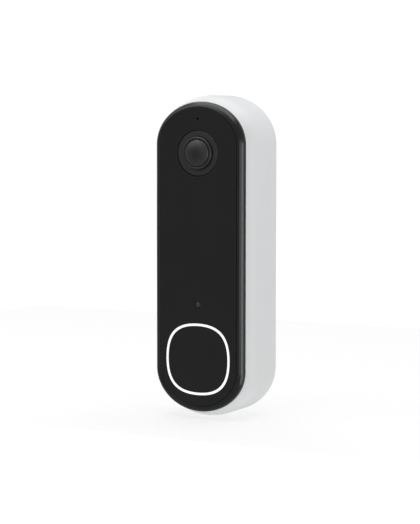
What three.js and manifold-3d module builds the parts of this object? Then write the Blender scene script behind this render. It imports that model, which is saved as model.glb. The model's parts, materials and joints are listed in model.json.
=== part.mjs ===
// A battery video doorbell on its wall plate, as a three.js scene graph. Millimetres, +Z up.
// The wall is the plane Y = 0 and the doorbell faces -Y; the origin is the centre of the wall
// plate's back face. Every mesh is one separate piece of the real assembly.
import * as THREE from "three";
import { mergeVertices } from "three/addons/utils/BufferGeometryUtils.js";
import Module from "manifold-3d";

const wasm = await Module();
wasm.setup();

// ---- Driving dimensions ----------------------------------------------------------------------

const SEAM = { halfWidth: 20.2, capHeight: 17.45 }; // outline where the black front meets the body
const CAP_Z = 45.85; // height of each cap's centre, so the straight sides are twice this long
const FLARE = 2.67; // how far the white body stands out past the seam outline, all round
const SHOULDER = 9.5; // depth over which the body swells out to that width
const SWELL = 2.6; // exponent of the swelling: the higher, the sooner the side turns straight
const BODY_DEPTH = 22.4; // from the body's back rim to the seam
const BEZEL = { inset: 2.3, round: 2.4, depth: 3.5 }; // the black rim: width, rounding, depth
const BACK_ROUND = 0.5; // radius of the body's back edge
const WALL = 2.0; // thickness of the body's side wall

const PLATE_THICK = 2.6;
const WALL_GAP = 0.8; // between the wall and the body's back rim
const RECESS = 2.6; // depth of the pocket in the body's back that hides the plate
const BACK_WALL = 1.8;

const Y = {};
Y.rim = -WALL_GAP;
Y.floor = Y.rim - RECESS;
Y.inside = Y.floor - BACK_WALL;
Y.seam = Y.rim - BODY_DEPTH;
Y.front = Y.seam - BEZEL.depth;

const PANEL = { thick: 1.6, rim: 0.1, gap: 0.2 }; // the dark window let into the rim
Y.panelBack = Y.front + PANEL.thick;

const LENS_Z = 42.5;
const MIC_Z = 56.4;
const MIC_HOLE = 0.45; // radius
const SENSOR_Z = 31.2; // ambient light sensor, under the lens
const STATUS_Z = -19.2;
const BUTTON_Z = -41.5;
const SQUIRCLE = 2.54; // exponent of the button's rounded-square outline
const RING = { outer: 14.77, inner: 13.63, flange: 0.8, play: 0.15 };

const PIVOT = { y: -4.3, z: 58.1 }; // line that the doorbell tips about on its top hooks
const POSTS = [[-14.6, 29.5], [14.6, 29.5], [-14.6, -22.5], [14.6, -22.5]];
const POST_RADIUS = 1.9;
const GAP = 0.3; // running clearance
const REST = 0.05; // gap at a face where one fixed piece rests on another
const SEATED = 0.02; // gap under a part soldered to a board
const BITE = 0.2; // how far shapes that are joined run into each other
const PAST = 1; // how far a cutting shape runs past what it cuts

// ---- Materials -------------------------------------------------------------------------------

function material(color, roughness, metalness = 0, opacity = 1) {
  return new THREE.MeshStandardMaterial({
    color, roughness, metalness, opacity, transparent: opacity < 1,
  });
}

const finish = {
  whiteShell: material(0xe4e6e8, 0.45),
  whitePlate: material(0xd5d7d9, 0.6),
  blackGloss: material(0x161617, 0.15),
  blackSatin: material(0x2c2c2e, 0.4),
  blackMatte: material(0x1c1c1e, 0.7),
  glass: material(0x30353c, 0.05, 0, 0.5),
  diffuser: material(0xffffff, 0.4),
  smoke: material(0x5a5a5e, 0.3),
  board: material(0x17583a, 0.5),
  steel: material(0xb6babe, 0.35, 1),
  brass: material(0xc39a4e, 0.35, 1),
  copper: material(0xb5672f, 0.45, 0.6),
  silicone: material(0x8d9093, 0.8),
  rubber: material(0x2a2a2b, 0.85),
  wrap: material(0x2f5f9a, 0.4),
  red: material(0xb01f1f, 0.5),
  silicon: material(0x22303a, 0.2, 0.3),
};

// ---- Shapes ----------------------------------------------------------------------------------

const CAP_STEPS = 14;
const SQUIRCLE_STEPS = 40;

// The doorbell's outline, set in from the seam outline: an elliptical cap at each end.
function outline(inset) {
  const points = [];
  for (const end of [0, 1]) {
    for (let k = 0; k <= CAP_STEPS; k++) {
      const angle = Math.PI * (end + k / CAP_STEPS);
      points.push(new THREE.Vector2(
        (SEAM.halfWidth - inset) * Math.cos(angle),
        (end ? -CAP_Z : CAP_Z) + (SEAM.capHeight - inset) * Math.sin(angle),
      ));
    }
  }
  return points;
}

function squircle(half, centreZ = BUTTON_Z) {
  const points = [];
  for (let k = 0; k < SQUIRCLE_STEPS; k++) {
    const angle = (2 * Math.PI * k) / SQUIRCLE_STEPS;
    const c = Math.cos(angle);
    const s = Math.sin(angle);
    points.push(new THREE.Vector2(
      half * Math.sign(c) * Math.abs(c) ** (2 / SQUIRCLE),
      centreZ + half * Math.sign(s) * Math.abs(s) ** (2 / SQUIRCLE),
    ));
  }
  return points;
}

function roundedRect(x0, x1, z0, z1, r) {
  const shape = new THREE.Shape();
  shape.absarc(x1 - r, z0 + r, r, -Math.PI / 2, 0);
  shape.absarc(x1 - r, z1 - r, r, 0, Math.PI / 2);
  shape.absarc(x0 + r, z1 - r, r, Math.PI / 2, Math.PI);
  shape.absarc(x0 + r, z0 + r, r, Math.PI, 1.5 * Math.PI);
  shape.closePath();
  return shape;
}

// A flat plate with its face in X and Z, from depth y0 back to depth y1.
function slab(shape, y0, y1, curveSegments = 5) {
  const face = Array.isArray(shape) ? new THREE.Shape(shape) : shape;
  return new THREE.ExtrudeGeometry(face, { depth: y1 - y0, bevelEnabled: false, curveSegments })
    .rotateX(Math.PI / 2)
    .translate(0, y1, 0);
}

function block(x0, x1, y0, y1, z0, z1) {
  return new THREE.BoxGeometry(x1 - x0, y1 - y0, z1 - z0)
    .translate((x0 + x1) / 2, (y0 + y1) / 2, (z0 + z1) / 2);
}

function rod(radius, y0, y1, x = 0, z = 0, sides = 16) {
  return new THREE.CylinderGeometry(radius, radius, y1 - y0, sides)
    .translate(x, (y0 + y1) / 2, z);
}

function uprightRod(radius, z0, z1, x, y, sides = 16) {
  return new THREE.CylinderGeometry(radius, radius, z1 - z0, sides)
    .rotateX(Math.PI / 2)
    .translate(x, y, (z0 + z1) / 2);
}

// A solid turned about the Y axis from [radius, depth] corners that close on themselves.
function turned(corners, sides = 32) {
  const profile = [...corners, corners[0]].map(([r, y]) => new THREE.Vector2(r, y));
  return new THREE.LatheGeometry(profile, sides);
}

// A solid skinned over the outline at each [depth, inset] section, front section first.
function loft(sections) {
  const rings = sections.map(([y, inset]) => outline(inset).map((p) => [p.x, y, p.y]));
  const n = rings[0].length;
  const position = [...rings.flat(), [0, sections[0][0], 0], [0, sections.at(-1)[0], 0]];
  const front = rings.length * n;
  const back = front + 1;
  const last = (rings.length - 1) * n;
  const index = [];
  for (let i = 0; i < n; i++) {
    const next = (i + 1) % n;
    index.push(front, i, next, back, last + next, last + i);
    for (let r = 0; r < last; r += n) {
      index.push(r + i, r + n + i, r + next, r + next, r + n + i, r + n + next);
    }
  }
  return new THREE.BufferGeometry()
    .setAttribute("position", new THREE.Float32BufferAttribute(position.flat(), 3))
    .setIndex(index);
}

// Sections along a quarter ellipse: it leaves (y0, inset0) sideways and meets (y1, inset1) along Y.
function quarterRound(y0, inset0, y1, inset1, steps) {
  const sections = [];
  for (let k = 0; k <= steps; k++) {
    const angle = (k / steps) * Math.PI / 2;
    sections.push([
      y1 + (y0 - y1) * Math.cos(angle),
      inset0 + (inset1 - inset0) * Math.sin(angle),
    ]);
  }
  return sections;
}

// Sections of the body's side as it swells out from the seam to its full width.
function swelling(steps) {
  return Array.from({ length: steps + 1 }, (_, k) => {
    const part = k / steps;
    return [Y.seam + SHOULDER * part, -FLARE * (1 - (1 - part) ** SWELL)];
  });
}

// ---- Solid cuts and joins --------------------------------------------------------------------

const MERGE_WITHIN = 1e-4;

// The geometry as a solid, turned to face outwards if its triangles run the wrong way round.
function solidOf(geometry) {
  const bare = geometry.clone();
  bare.deleteAttribute("normal");
  bare.deleteAttribute("uv");
  const merged = mergeVertices(bare, MERGE_WITHIN);
  const vertProperties = merged.getAttribute("position").array;
  const triVerts = new Uint32Array(merged.index.array);
  const solidWith = (order) => new wasm.Manifold(
    new wasm.Mesh({ numProp: 3, vertProperties, triVerts: order }),
  );
  const solid = solidWith(triVerts);
  return solid.volume() > 0 ? solid : solidWith(triVerts.reverse());
}

function geometryOf(solid) {
  const { vertProperties, triVerts, numProp } = solid.getMesh();
  const position = new Float32Array((vertProperties.length / numProp) * 3);
  for (let v = 0; v < position.length / 3; v++) {
    position.set(vertProperties.subarray(v * numProp, v * numProp + 3), v * 3);
  }
  const geometry = new THREE.BufferGeometry()
    .setAttribute("position", new THREE.BufferAttribute(position, 3))
    .setIndex(new THREE.BufferAttribute(new Uint32Array(triVerts), 1))
    .toNonIndexed();
  geometry.computeVertexNormals();
  return geometry;
}

// The body plus every piece in add, less every piece in cut.
function shaped(body, { add = [], cut = [] } = {}) {
  let solid = solidOf(body);
  for (const piece of add) solid = solid.add(solidOf(piece));
  for (const piece of cut) solid = solid.subtract(solidOf(piece));
  return geometryOf(solid);
}

function named(name, geometry, look, x = 0, y = 0, z = 0) {
  const mesh = new THREE.Mesh(geometry, look);
  mesh.name = name;
  mesh.position.set(x, y, z);
  return mesh;
}

const mirrored = (make) => [make(-1, "left"), make(1, "right")];

// The span from x0 to x1 on the left and on the right of the middle.
const bothSides = (x0, x1) => [[-x1, -x0], [x0, x1]];

// ---- Wall plate ------------------------------------------------------------------------------

const PLATE_INSET = -FLARE + 3.5;
const WINDOWS = { halfWidth: 15.2, wires: [3, 18], port: [-16, -1.6], corner: 2.5 };
const SLOT = { halfWidth: 1.9, halfLength: 4.6, z: 34, end: 1.89, rim: 1.6, rimDepth: 1.1, rimEnd: 3.4 };
const HOOK = { x0: 5, x1: 10, thick: 1.6, lip: 1.4, lipTop: 60, play: 0.4 };
const CATCH = {
  halfWidth: 3.2, z0: -58.6, z1: -57, reach: -9.5, lipBack: -8.1, lipTop: -55.5, play: 0.5,
};

// A screw slot: upright at the top, and level at the bottom, so that the plate can be set straight.
function screwSlot(at, grow, corner) {
  const along = SLOT.halfLength + grow;
  const across = SLOT.halfWidth + grow;
  return at > 0
    ? roundedRect(-across, across, at - along, at + along, corner)
    : roundedRect(-along, along, at - across, at + across, corner);
}

function wallPlate() {
  const front = -PLATE_THICK;
  const slotHeights = [SLOT.z, -SLOT.z];
  const face = new THREE.Shape(outline(PLATE_INSET));
  for (const [z0, z1] of [WINDOWS.wires, WINDOWS.port]) {
    face.holes.push(roundedRect(-WINDOWS.halfWidth, WINDOWS.halfWidth, z0, z1, WINDOWS.corner));
  }
  face.holes.push(...slotHeights.map((at) => screwSlot(at, 0, SLOT.end)));
  const hookBase = PIVOT.z - GAP;
  const lipBack = Y.inside - HOOK.play;
  const hooks = bothSides(HOOK.x0, HOOK.x1).flatMap(([x0, x1]) => [
    block(x0, x1, lipBack - HOOK.lip, front + BITE, hookBase - HOOK.thick, hookBase),
    block(x0, x1, lipBack - HOOK.lip, lipBack, hookBase - HOOK.thick, HOOK.lipTop),
  ]);
  const catchTab = [
    block(-CATCH.halfWidth, CATCH.halfWidth, CATCH.reach, front + BITE, CATCH.z0, CATCH.z1),
    block(-CATCH.halfWidth, CATCH.halfWidth, CATCH.reach, CATCH.lipBack, CATCH.z0, CATCH.lipTop),
  ];
  const sunkRims = slotHeights.map(
    (at) => slab(screwSlot(at, SLOT.rim, SLOT.rimEnd), front - PAST, front + SLOT.rimDepth),
  );
  const plate = shaped(slab(face, front, 0), { add: [...hooks, ...catchTab], cut: sunkRims });
  return named("wall_plate", plate, finish.whitePlate);
}

// ---- Rear housing ----------------------------------------------------------------------------

const PLATE_PLAY = 0.9; // between the wall plate's edge and the pocket round it
const WELL = { halfWidth: 13.5, z0: 5, z1: 15, floor: -6.4, wall: 1.2, corner: 2 };
const TERMINAL = { x: 7, z: 10, hole: 1.45 };
const PORT = { x: -5.5, z: -8, halfWidth: 4.47, halfHeight: 1.63, corner: 1.5, reach: -12 };
const COVER = { halfWidth: 6.8, halfHeight: 3.3, thick: 0.8, hingeX: -12.7, hingeRoom: 1.2, corner: 1.5 };
const SYNC = { x: 7.5, z: -8, radius: 2.6, play: 0.2 };
const LATCH = { back: -6.2, front: -7.8, top: -50, bottom: -63, halfWidth: 6.2, tooth: -56.7 };
const RAIL = { thick: 1.2, length: 7 };
const SPRING = { y: -7, z0: -49.8, z1: -44.3, radius: 1.5, wire: 0.35 };
const SPRING_SEAT = { halfWidth: 3, front: -9.2, thick: 1.7 };
const LEDGE = { y0: -19.5, y1: -18.3, inner: 3.6 };
const SCREW = { hole: 1.25, head: 2.3 };
const POST_PAD = { radius: 3.1, height: 1.4 };
const GRILLE = { pitch: 3.2, halfWidth: 0.6, halfDepth: 3.4, corner: 0.55, y: -15, z: -68, height: 6 };
const RELEASE_HOLE = 1.2;

// What stands up inside the housing: the seal's ledge, the wire well, pads, rails and a spring seat.
function housingRibs() {
  const base = Y.inside + BITE;
  const sealLedge = shaped(loft([[LEDGE.y0, 0.5], [LEDGE.y1, 0.1]]), {
    cut: [loft([[LEDGE.y0 - PAST, LEDGE.inner], [LEDGE.y1 + PAST, LEDGE.inner]])],
  });
  const wellHalf = WELL.halfWidth + WELL.wall;
  const wellBox = block(-wellHalf, wellHalf, WELL.floor - WELL.wall, base,
    WELL.z0 - WELL.wall, WELL.z1 + WELL.wall);
  const pads = POSTS.map(([x, z]) => rod(POST_PAD.radius, Y.inside - POST_PAD.height, base, x, z));
  const railIn = LATCH.halfWidth + GAP;
  const rails = bothSides(railIn, railIn + RAIL.thick)
    .map(([x0, x1]) => block(x0, x1, LATCH.front, base, LATCH.top - RAIL.length, LATCH.top));
  const seatBase = SPRING.z1 + GAP;
  const seat = block(-SPRING_SEAT.halfWidth, SPRING_SEAT.halfWidth, SPRING_SEAT.front, base,
    seatBase, seatBase + SPRING_SEAT.thick);
  return [sealLedge, wellBox, ...pads, ...rails, seat];
}

// The openings through the housing's back wall: for the plate's hooks and catch, and for screws.
function fixingHoles() {
  const front = Y.inside - 0.5;
  const back = Y.floor + 0.5;
  const hookSlots = bothSides(HOOK.x0 - HOOK.play, HOOK.x1 + HOOK.play)
    .map(([x0, x1]) => block(x0, x1, front, back, PIVOT.z - 4.6, PIVOT.z));
  const catchSlot = block(-CATCH.halfWidth - CATCH.play, CATCH.halfWidth + CATCH.play, front, back,
    CATCH.z0 - 1.6, CATCH.lipTop + 0.9);
  const screwHoles = POSTS.flatMap(([x, z]) => [
    rod(SCREW.hole, Y.inside - 2 * PAST, Y.floor + PAST, x, z),
    rod(SCREW.head, Y.inside + BITE, Y.floor + PAST, x, z),
  ]);
  return [...hookSlots, catchSlot, ...screwHoles];
}

// The openings for what is reached from behind: the terminals, the charging port and the button.
function serviceHoles() {
  const { x, z, halfWidth: portX, halfHeight: portZ } = PORT;
  const { halfWidth: coverX, halfHeight: coverZ } = COVER;
  const terminalHoles = [-1, 1].map((side) => rod(
    TERMINAL.hole, WELL.floor - WELL.wall - PAST, WELL.floor + PAST, TERMINAL.x * side, TERMINAL.z,
  ));
  return [
    slab(roundedRect(-WELL.halfWidth, WELL.halfWidth, WELL.z0, WELL.z1, WELL.corner), WELL.floor, PAST),
    slab(roundedRect(x - coverX - COVER.hingeRoom, x + coverX + GAP, z - coverZ - GAP, z + coverZ + GAP,
      COVER.corner), Y.floor - COVER.thick - BITE, PAST),
    slab(roundedRect(x - portX - GAP, x + portX + GAP, z - portZ - GAP, z + portZ + GAP,
      PORT.corner + 0.1), PORT.reach, PAST),
    rod(SYNC.radius + SYNC.play, PORT.reach, PAST, SYNC.x, SYNC.z),
    ...terminalHoles,
  ];
}

function speakerGrille() {
  const { pitch, halfWidth, halfDepth, corner, y, z, height } = GRILLE;
  const slot = roundedRect(-halfWidth, halfWidth, -halfDepth, halfDepth, corner);
  return [-2, -1, 0, 1, 2].map(
    (k) => new THREE.ExtrudeGeometry(slot, { depth: height, bevelEnabled: false, curveSegments: 3 })
      .translate(pitch * k, y, z),
  );
}

function rearHousing() {
  const outer = loft([
    ...swelling(6),
    ...quarterRound(Y.rim, -FLARE + BACK_ROUND, Y.rim - BACK_ROUND, -FLARE, 2).reverse(),
  ]);
  const cavity = loft([
    [Y.seam - PAST, WALL],
    [Y.seam, WALL],
    [Y.seam + SHOULDER, WALL - FLARE],
    [Y.inside, WALL - FLARE],
  ]);
  const recess = loft([[Y.floor, PLATE_INSET - PLATE_PLAY], [PAST, PLATE_INSET - PLATE_PLAY]]);
  const releaseHole = uprightRod(RELEASE_HOLE, -70, -60, 0, (LATCH.front + LATCH.back) / 2);
  const shell = shaped(shaped(outer, { cut: [cavity, recess] }), { add: housingRibs() });
  const housing = shaped(shell, {
    cut: [...fixingHoles(), ...serviceHoles(), ...speakerGrille(), releaseHole],
  });
  return named("rear_housing", housing, finish.whiteShell);
}

// ---- Front bezel, panel and seal -------------------------------------------------------------

const TONGUE = { outer: WALL + GAP, inner: 3.5, back: -21 };

const BEZEL_LEDGE = TONGUE.inner + 1.1; // inner edge of the ledge that the panel is bonded to
const POST_TIP = 1.7; // between a post's end and the housing's back wall
const POST_BORE = 1.1;
const SEAL = { thick: 1.3, inset: WALL + 0.35, inner: TONGUE.inner - 0.1 };
const LENS_HOLE = 9.35;
const SENSOR_HOLE = 0.7;
const STATUS = { hole: 1.35, pipe: 1.2, flange: 2 };

function frontBezel() {
  const outer = loft([
    ...quarterRound(Y.front, BEZEL.inset, Y.front + BEZEL.round, 0, 5),
    [Y.seam, 0],
  ]);
  const rimInset = BEZEL.inset + PANEL.rim;
  const tongue = loft([[Y.seam - PAST, TONGUE.outer], [TONGUE.back, TONGUE.outer]]);
  const posts = POSTS.map(
    ([x, z]) => rod(POST_RADIUS, Y.inside - POST_TIP, Y.panelBack + 2 * BITE, x, z),
  );
  const bores = POSTS.map(([x, z]) => rod(POST_BORE, Y.inside - 8, Y.inside, x, z, 12));
  const opened = shaped(outer, {
    add: [tongue],
    cut: [
      loft([[Y.front - PAST, rimInset], [Y.panelBack + REST, rimInset]]),
      loft([[Y.front - PAST, BEZEL_LEDGE], [Y.seam + BITE, BEZEL_LEDGE]]),
      loft([[Y.seam - 0.6, TONGUE.inner], [TONGUE.back + PAST, TONGUE.inner]]),
    ],
  });
  const bezel = shaped(shaped(opened, { add: posts }), { cut: bores });
  return named("front_bezel", bezel, finish.blackGloss);
}

function perimeterSeal() {
  const back = LEDGE.y0 - REST;
  const front = back - SEAL.thick;
  const ring = shaped(loft([[front, SEAL.inset], [back, SEAL.inset]]), {
    cut: [loft([[front - PAST, SEAL.inner], [back + PAST, SEAL.inner]])],
  });
  return named("perimeter_seal", ring, finish.rubber);
}

function frontPanel() {
  const face = new THREE.Shape(outline(BEZEL.inset + PANEL.rim + PANEL.gap));
  const round = (z, r) => new THREE.Path().absarc(0, z, r, 0, 2 * Math.PI);
  face.holes.push(
    round(LENS_Z, LENS_HOLE), round(MIC_Z, MIC_HOLE),
    round(SENSOR_Z, SENSOR_HOLE), round(STATUS_Z, STATUS.hole),
    new THREE.Path(squircle(RING.outer + RING.play)),
  );
  return named("front_panel", slab(face, Y.front, Y.panelBack, 14), finish.blackGloss);
}

// ---- Call button and light ring --------------------------------------------------------------

const BOARD = {
  front: -20.8, back: -19.8, inset: 3.9, z1: 25,
  waist: { x: 12.3, z: -14 },
};
const RING_BACK = -22;
const CAP = { half: RING.inner - 0.25, back: Y.front + 1.9, post: 2.2, postEnd: -23.4 };
const MEMBRANE = { front: -23.1, back: -22.6, half: 12.9, boss: 2.6, bossHeight: 0.1 };
const SWITCH = {
  half: 2.6, height: 1, bore: 0.2, plunger: 1.1, plungerPlay: 0.15, plungerFoot: 0.65, plungerTip: 1.5,
};

function lightRing() {
  const flangeFront = Y.panelBack + REST;
  const guide = shaped(slab(squircle(RING.outer), Y.front - REST, RING_BACK), {
    add: [slab(squircle(RING.outer + RING.flange), flangeFront, flangeFront + 0.85)],
    cut: [slab(squircle(RING.inner), Y.front - PAST, RING_BACK + PAST)],
  });
  return named("light_ring", guide, finish.diffuser);
}

function buttonCap() {
  const cap = shaped(slab(squircle(CAP.half), Y.front, CAP.back), {
    add: [rod(CAP.post, CAP.back - BITE, CAP.postEnd, 0, BUTTON_Z)],
  });
  return named("button_cap", cap, finish.blackGloss);
}

function buttonMembrane() {
  const { front, back, half, boss, bossHeight } = MEMBRANE;
  const sheet = shaped(slab(squircle(half), front + bossHeight, back), {
    add: [rod(boss, front, back, 0, BUTTON_Z)],
  });
  return named("button_membrane", sheet, finish.silicone);
}

// A tactile switch standing on a board: a square body with a round plunger in it. dir is -1 where
// the plunger points to the front and 1 where it points to the back.
function tactSwitch(name, x, z, boardY, dir) {
  const { half, height, bore, plunger, plungerPlay, plungerFoot, plungerTip } = SWITCH;
  const span = (from, to) => [boardY + dir * from, boardY + dir * to].sort((p, q) => p - q);
  const can = block(-half, half, ...span(SEATED, height), -half, half);
  const body = shaped(can, { cut: [rod(plunger + plungerPlay, ...span(bore, height + PAST))] });
  return [
    named(`${name}_body`, body, finish.steel, x, 0, z),
    named(`${name}_plunger`, rod(plunger, ...span(plungerFoot, plungerTip)), finish.blackMatte, x, 0, z),
  ];
}

// ---- Main board and what it carries ----------------------------------------------------------

const BEYOND = 80; // past the object on every side, for a cut that trims all that lies there

function mainBoard() {
  const { front, back, inset, z1, waist } = BOARD;
  const depth = [front - PAST, back + PAST];
  const sides = bothSides(waist.x, BEYOND).map(([x0, x1]) => block(x0, x1, ...depth, -BEYOND, waist.z));
  const board = shaped(slab(outline(inset), front, back), {
    cut: [block(-BEYOND, BEYOND, ...depth, z1, BEYOND), ...sides],
  });
  return named("main_board", board, finish.board);
}

const SHIELD = { sheet: 0.3, corner: 0.8 };

function shieldCan(name, x0, x1, z0, z1, height) {
  const { sheet, corner } = SHIELD;
  const top = BOARD.front - height;
  const can = shaped(slab(roundedRect(x0, x1, z0, z1, corner), top, BOARD.front - SEATED, 3), {
    cut: [block(x0 + sheet, x1 - sheet, top + sheet, BOARD.front + PAST, z0 + sheet, z1 - sheet)],
  });
  return named(name, can, finish.steel);
}

function chip(name, halfX, halfZ, height, look, x, z, board = BOARD.front) {
  const body = block(-halfX, halfX, board - height, board - SEATED, -halfZ, halfZ);
  return named(name, body, look, x, 0, z);
}

function ringLeds() {
  const reach = (RING.outer + RING.inner) / 2;
  const corner = reach * Math.SQRT1_2 ** (2 / SQUIRCLE);
  return [[-corner, -corner], [corner, -corner], [corner, corner], [-corner, corner]]
    .map(([x, z], k) => chip(`ring_led_${k + 1}`, 1, 0.7, 0.8, finish.diffuser, x, BUTTON_Z + z));
}

const STATUS_PIPE_BACK = -21.9;

function statusLight() {
  const flangeFront = Y.panelBack + REST;
  const pipe = shaped(rod(STATUS.pipe, Y.front, STATUS_PIPE_BACK), {
    add: [rod(STATUS.flange, flangeFront, flangeFront + 0.75)],
  });
  return [
    named("status_light_pipe", pipe, finish.smoke, 0, 0, STATUS_Z),
    chip("status_led", 0.8, 0.6, 0.6, finish.diffuser, 0, STATUS_Z),
  ];
}

// ---- Camera ----------------------------------------------------------------------------------

const BARREL = {
  radius: 6.7, front: Y.front - 1.1, step: -20.5, back: -16.4, tail: 5, bore: 3.2, boreFront: -22,
};
const TRIM = { radius: 9.2, sunk: 0.05, play: 0.1, back: Y.front + 2.6 };
const GLASS = {
  radius: 5.45, edge: BARREL.front + 0.2, sag: 1.2, seat: -25.3, hollow: 4, hollowTop: -26,
};
const REAR_GLASS = { radius: 2.9, apex: -20.6, edge: -20, back: -19 };
const CAMERA_BOARD = { front: -14.4, back: -13.4, half: 11 };
const LENS_MOUNT = { half: 7, front: -18.8, socket: -16.2, chamber: 4.2 };
const IMAGE_SENSOR = { half: 3.6, front: -15.1, window: { halfX: 2.6, halfZ: 2, front: -15.3 } };
const SENSOR_BOARD = { front: -22.6, back: -21.8, z0: 26.5, inset: 3.9, notch: 14.2 };
const IR_LED = { x: 9.5, z: 29.6, half: 1.75, height: 0.8, dome: 1.3, rise: 1 };
const MIC_BOOT = { radius: 1.9, gap: 1.15 };

// Corners along a dome from the axis to its edge, for a turned profile.
function dome(radius, apexY, edgeY, steps) {
  return Array.from({ length: steps + 1 }, (_, k) => {
    const angle = (k / steps) * Math.PI / 2;
    return [radius * Math.sin(angle), edgeY + (apexY - edgeY) * Math.cos(angle)];
  });
}

function trimRing() {
  const { radius, sunk, play, back } = TRIM;
  const inner = BARREL.radius + play;
  const face = Y.front + sunk;
  return turned([
    [inner, face - 0.05], [radius - 0.2, face], [radius, face + 0.15], [radius, back], [inner, back],
  ], 28);
}

function lensBarrel() {
  const { radius, front, step, back, tail, bore, boreFront } = BARREL;
  const seat = GLASS.radius + 0.1;
  const cone = GLASS.radius - 0.6;
  return turned([
    [seat, front + 0.2], [seat + 0.4, front], [radius - 0.35, front], [radius, front + 0.35],
    [radius, step], [tail, step], [tail, back], [bore, back], [bore, boreFront],
    [cone, GLASS.seat + 0.7], [cone, GLASS.seat + 0.1], [seat, GLASS.seat + 0.1],
  ], 28);
}

function frontGlass() {
  const { radius, edge, sag, seat, hollow, hollowTop } = GLASS;
  return turned([
    ...dome(radius, edge - sag, edge, 4), [radius, seat], [hollow, seat],
    ...dome(hollow, hollowTop, seat, 3).reverse().slice(1),
  ], 28);
}

function lensMount() {
  const { half, front, socket, chamber } = LENS_MOUNT;
  const back = CAMERA_BOARD.front;
  return shaped(block(-half, half, front, back - SEATED, -half, half), {
    cut: [
      rod(BARREL.tail + 0.15, front - PAST, socket),
      block(-chamber, chamber, socket - 0.1, back + PAST, -chamber, chamber),
    ],
  });
}

function imageSensor() {
  const { half, front, window } = IMAGE_SENSOR;
  return shaped(block(-half, half, front, CAMERA_BOARD.front - SEATED, -half, half), {
    add: [block(-window.halfX, window.halfX, window.front, front + 0.1, -window.halfZ, window.halfZ)],
  });
}

function camera() {
  const { radius, apex, edge, back } = REAR_GLASS;
  const rear = turned([...dome(radius, apex, edge, 3), [radius, back], [0, back]], 24);
  const { half } = CAMERA_BOARD;
  const board = slab(roundedRect(-half, half, -half, half, 1), CAMERA_BOARD.front, CAMERA_BOARD.back);
  const group = new THREE.Group();
  group.position.z = LENS_Z;
  group.add(
    named("lens_trim_ring", trimRing(), finish.blackSatin),
    named("lens_barrel", lensBarrel(), finish.blackSatin),
    named("lens_front_glass", frontGlass(), finish.glass),
    named("lens_rear_glass", rear, finish.glass),
    named("lens_mount", lensMount(), finish.blackMatte),
    named("image_sensor", imageSensor(), finish.silicon),
    named("camera_board", board, finish.board),
  );
  return group;
}

function irLed() {
  const { half, height, dome: domeRadius, rise } = IR_LED;
  const base = SENSOR_BOARD.front;
  const lensEdge = base - height + 0.1;
  const lens = turned([...dome(domeRadius, lensEdge - rise, lensEdge, 4), [0, lensEdge]], 16);
  return shaped(block(-half, half, base - height, base - SEATED, -half, half), { add: [lens] });
}

function sensorBoard() {
  const { front, back, z0, inset, notch } = SENSOR_BOARD;
  const depth = [front - PAST, back + PAST];
  const postRoom = POST_RADIUS + GAP;
  const upperPosts = POSTS.filter(([, z]) => z > 0);
  const board = shaped(slab(outline(inset), front, back), {
    cut: [
      block(-BEYOND, BEYOND, ...depth, -BEYOND, z0),
      rod(BARREL.radius + 0.6, ...depth, 0, LENS_Z, 28),
      ...upperPosts.map(([x, z]) => rod(postRoom, ...depth, x, z)),
      ...bothSides(notch, BEYOND)
        .map(([x0, x1]) => block(x0, x1, ...depth, z0 - PAST, upperPosts[0][1] + postRoom)),
    ],
  });
  const boot = shaped(rod(MIC_BOOT.radius, Y.panelBack + REST, front - MIC_BOOT.gap), {
    cut: [rod(MIC_HOLE, Y.panelBack - PAST, front, 0, 0, 12)],
  });
  return [
    named("sensor_board", board, finish.board),
    ...mirrored((side, word) => named(
      `ir_led_${word}`, irLed(), finish.smoke, IR_LED.x * side, 0, IR_LED.z,
    )),
    chip("microphone", 1.75, 1.4, 1.05, finish.steel, 0, MIC_Z, front),
    named("microphone_boot", boot, finish.rubber, 0, 0, MIC_Z),
    chip("light_sensor", 1, 1, 0.7, finish.silicon, 0, SENSOR_Z, front),
  ];
}

// The flat cable between the camera board and the main board: a strip along a bent path.
const FLEX = {
  x0: 3, x1: 9, half: 0.1,
  bends: [[-13, 34], [-12.2, 34], [-12.2, 27.2], [-19.4, 27.2], [-19.4, 22]], // [y, z]
};

function cameraFlex() {
  const { x0, x1, half, bends } = FLEX;
  const strip = bends.slice(1).map(([y, z], k) => {
    const [fromY, fromZ] = bends[k];
    return block(x0, x1, Math.min(fromY, y) - half, Math.max(fromY, y) + half,
      Math.min(fromZ, z) - half, Math.max(fromZ, z) + half);
  });
  return named("camera_flex", shaped(strip[0], { add: strip.slice(1) }), finish.copper);
}

const ANTENNA = { half: 12, y0: -16.5, y1: -15.9, z0: 55.6, z1: 59.4 };
const ANTENNA_SLIT = { x0: -9, z0: 57, z1: 57.8 };

function antenna() {
  const { half, y0, y1, z0, z1 } = ANTENNA;
  const slit = ANTENNA_SLIT;
  const blade = shaped(block(-half, half, y0, y1, z0, z1), {
    cut: [block(slit.x0, half + PAST, y0 - PAST, y1 + PAST, slit.z0, slit.z1)],
  });
  return named("wifi_antenna", blade, finish.copper);
}

// ---- Battery, frame and power board ----------------------------------------------------------

const BATTERY = {
  x: 11.1, front: -19.3, back: -12.4, z0: -43, z1: 20, edge: 0.6, corner: 1.6,
};
const LEAD = { radius: 0.45, positiveX: -8, negativeX: -5.5 };
const FRAME = { x: 12.4, back: -11.4, z0: -44.4, z1: 25.3, wall: 1, endWall: 1.1, ear: 3.4, earThick: 2 };
const FRAME_WINDOWS = { vent: [-9, 9, -40, -22], flex: [2, 10, 22.3, 26.3] }; // [x0, x1, z0, z1]
const POWER_BOARD = { front: -11.2, back: -10.2, x: 14, z0: -16, z1: 18, hole: 1.5 };

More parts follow.
